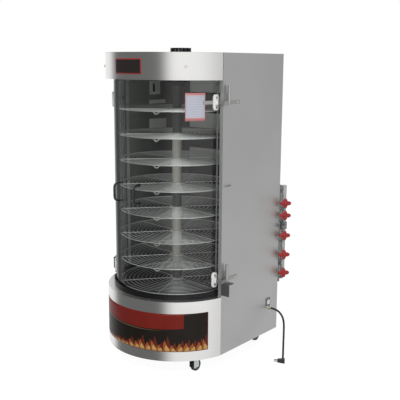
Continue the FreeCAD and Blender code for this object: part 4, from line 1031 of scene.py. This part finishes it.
flow.node("ShaderNodeOutputMaterial", None, {"Surface": plate_shader})
film_piece("hood_plate", HOOD_RADIUS + FILM_GAP, -BADGE_HALF, BADGE_HALF, BADGE_LOW, BADGE_HIGH,
           "cabinet", badge, thick=1.2 * MM, columns=32)

label, flow, uv = film_sheet("door_sticker")
u, v, _ = parts_of(uv)
LABEL_START = 47.6
LABEL_END = 65.4
LABEL_LOW = 1320 * MM
LABEL_HIGH = 1457 * MM
LABEL_TALL = LABEL_HIGH - LABEL_LOW
LABEL_WIDE = GLASS_OUTSIDE * math.radians(LABEL_END - LABEL_START)
BAR_FOOT = 15 * MM
BAR_HEAD = 12 * MM
BAR_SIDE = 3.5 * MM
BAR_EDGE = 0.4 * MM
RULE_PITCH = 12 * MM
RULE_INSET = 14 * MM
RULE_EDGE = 1 * MM
panel = (between(v, BAR_FOOT, LABEL_TALL - BAR_HEAD, BAR_EDGE)
         * between(u, BAR_SIDE, LABEL_WIDE - BAR_SIDE, BAR_EDGE))
bars = 1 - panel
rules = (rise(v.math("SINE", v * (math.tau / RULE_PITCH)), 0.55, 0.8)
         * between(u, RULE_INSET, LABEL_WIDE - RULE_INSET, RULE_EDGE))
mottle = noise(uv, 30.0, 3.0)
pale = blend(mottle, colour(0.4, 0.42, 0.5), colour(0.47, 0.48, 0.54))
ruled = blend(rules * 0.4, pale, colour(0.66, 0.66, 0.7))
label_shader = flow.node("ShaderNodeBsdfPrincipled", None,
                         {"Base Color": blend(bars, ruled, colour(0.52, 0.2, 0.2)),
                          "Roughness": 0.42 + mottle * 0.1})
flow.node("ShaderNodeOutputMaterial", None, {"Surface": label_shader})
film_piece("door_sticker", GLASS_OUTSIDE + FILM_GAP, LABEL_START, LABEL_END, LABEL_LOW, LABEL_HIGH,
           "right_door", label, thick=0.2 * MM, columns=32)
print("plate and sticker placed")

# %% [markdown]
# Each glass door has a soft seal along its hinge edge, and the chamber's side walls end in folded ribs.
# The ribs show through the glass. All of these are one plan shape carried straight up, closed at both ends.


# %% Door seals and wall ribs
def upright(plan, low, high):
    """A closed plan outline carried from low to high; its end rows shrink to the middle and close it."""
    middle = plan.mean(0)
    share = np.array((0.0, 1.0, 1.0, 0.0))[:, None, None]
    flat = middle + share * (plan - middle)
    level = np.broadcast_to(np.array((low, low, high, high))[:, None, None], flat.shape[:2] + (1,))
    return np.concatenate([flat, level], -1).reshape(-1, 3), grid_faces(4, len(plan), False, True)


def soft_box(sides=24, power=0.4):
    """A rounded square of half width 1: the cosine and the sine of an angle, each raised to a small power."""
    b = np.linspace(0, math.tau, sides, endpoint=False)
    return [np.sign(wave) * np.abs(wave) ** power for wave in (np.cos(b), np.sin(b))]


def edge_seal(start, end):
    """A rounded rectangle of distance against angle round the axis, over one edge of the glass."""
    out, along = soft_box()
    r = (GLASS_INSIDE + GLASS_OUTSIDE) / 2 + ((GLASS_OUTSIDE - GLASS_INSIDE) / 2 + 0.8 * MM) * out
    a = np.radians((start + end) / 2 + (end - start) / 2 * along)
    return upright(np.stack([r * np.sin(a), -r * np.cos(a)], -1), GLASS_LOW, GLASS_HIGH)


def wall_rib(x, y, half_x, half_y, low, high):
    """A rounded rectangle in plan, carried up."""
    out, along = soft_box()
    return upright(np.stack([x + half_x * out, y + half_y * along], -1), low, high)


seal_plastic = moulded("seal_plastic", (0.2, 0.21, 0.205), 0.4)
SEAL_START = 77.9
SEAL_END = 79.0
right_seal = edge_seal(SEAL_START, SEAL_END)
left_seal = edge_seal(-SEAL_END, -SEAL_START)
make_piece("right_door_seal", [right_seal], "right_door", seal_plastic)
make_piece("left_door_seal", [left_seal], "left_door", seal_plastic)
rib_steel = plated("rib_steel", (0.6, 0.61, 0.6), 0.4, 0.4)
LINER_FACE = 348.4 * MM
RIB_HALF = 1.2 * MM
RIB_LOW = 450 * MM
RIB_HIGH = 1505 * MM
RIBS = ((-56, 9), (-20, 11))
ribs = [wall_rib(side * LINER_FACE, y * MM, RIB_HALF, half * MM, RIB_LOW, RIB_HIGH)
        for side in (-1, 1) for y, half in RIBS]
make_piece("wall_ribs", ribs, "cabinet", rib_steel)
print("door seals 2, wall ribs", len(ribs))

# %% [markdown]
# High on each side wall sits a small vent plate with an upright slot, and a flat rail below it.
# The plate is the same carried-up shape as a rib, and the slot is a dark patch in its finish. The plates' and
# rails' near-white tone is painted reflection, standing in for bright reflections high on the side walls.

# %% Vent plates
place, close = new_finish("vent_plate_painted_reflection")
_, y, z = from_axis(place)
SLOT_EDGE = 1.5 * MM
slot_hole = between(y, 186 * MM, 204 * MM, SLOT_EDGE) * between(z, 1434 * MM, 1482 * MM, SLOT_EDGE)
haze = noise(place, 30.0, 3.0)
# Painted reflection: the plates and rails are near white so that they read as bright reflections.
vent_painted_reflection = close({"Base Color": blend(slot_hole, colour(0.95, 0.95, 0.92), colour(0.02, 0.02, 0.02)),
                    "Metallic": 0.0, "Roughness": 0.42 + haze * 0.15})
VENTS = ((205, 46, 1419, 1496), (226, 70, 1365, 1388), (230, 74, 1222, 1278))
vents = [wall_rib(side * LINER_FACE, y * MM, RIB_HALF, half * MM, low * MM, high * MM)
         for side in (-1, 1) for y, half, low, high in VENTS]
make_piece("vent_plates", vents, "cabinet", vent_painted_reflection)
print("vent plates", len(vents))

# %% [markdown]
# Under the ceiling the shaft runs in a cast flange.
# It is a turned profile with a neck, left open in the middle for the shaft, and four bolt heads stand under
# its rim.

# %% Ceiling flange
FLANGE_TOP = 1505 * MM
FLANGE = np.array(((0, 27), (0, 54), (-7, 54), (-9, 52), (-9, 38), (-11, 36), (-22, 34), (-24, 32),
                   (-24, 27), (0, 27)))
BOLT = np.array(((0, 0), (0, 6), (-6, 6), (-7.5, 4.6), (-8, 0)))
cast_iron = enamel("cast_iron", (0.02, 0.02, 0.02), 0.5)
flange = [lathe(FLANGE * MM, (0, 0, FLANGE_TOP), (0, 0, 1), 64)]
BOLT_COUNT = 4
BOLT_RING = 45 * MM
BOLT_SEAT = np.array((0, 0, FLANGE_TOP - 8.5 * MM))
flange += [lathe(BOLT * MM, around(360 / BOLT_COUNT * index) * BOLT_RING + BOLT_SEAT, (0, 0, 1), 16)
           for index in range(BOLT_COUNT)]
make_piece("ceiling_flange", flange, "cabinet", cast_iron)
print("ceiling flange placed")

# %% [markdown]
# A small wire hook on the right side holds the door open.
# It is a tube along a short path: out of the panel, forwards and up at the tip.

# %% Door hook
HOOK_ROUTE = np.array(((366, -12, 990), (372, -12, 990), (377, -17, 990), (378, -30, 989), (378, -44, 988),
                       (378, -54, 989), (378, -58, 993))) * MM
HOOK_WIRE = 1.8 * MM
hook_radii = np.full(len(HOOK_ROUTE), HOOK_WIRE)
hook_radii[-1] = 0.4 * HOOK_WIRE
ends = np.concatenate([HOOK_ROUTE[:1] - END_STEP, HOOK_ROUTE, HOOK_ROUTE[-1:] + END_STEP])
hook = tube(ends, np.concatenate([[0], hook_radii, [0]]), (0.1, 0.1, 1), 10)
make_piece("door_hook", [hook], "cabinet", dark_steel)
print("door hook placed")
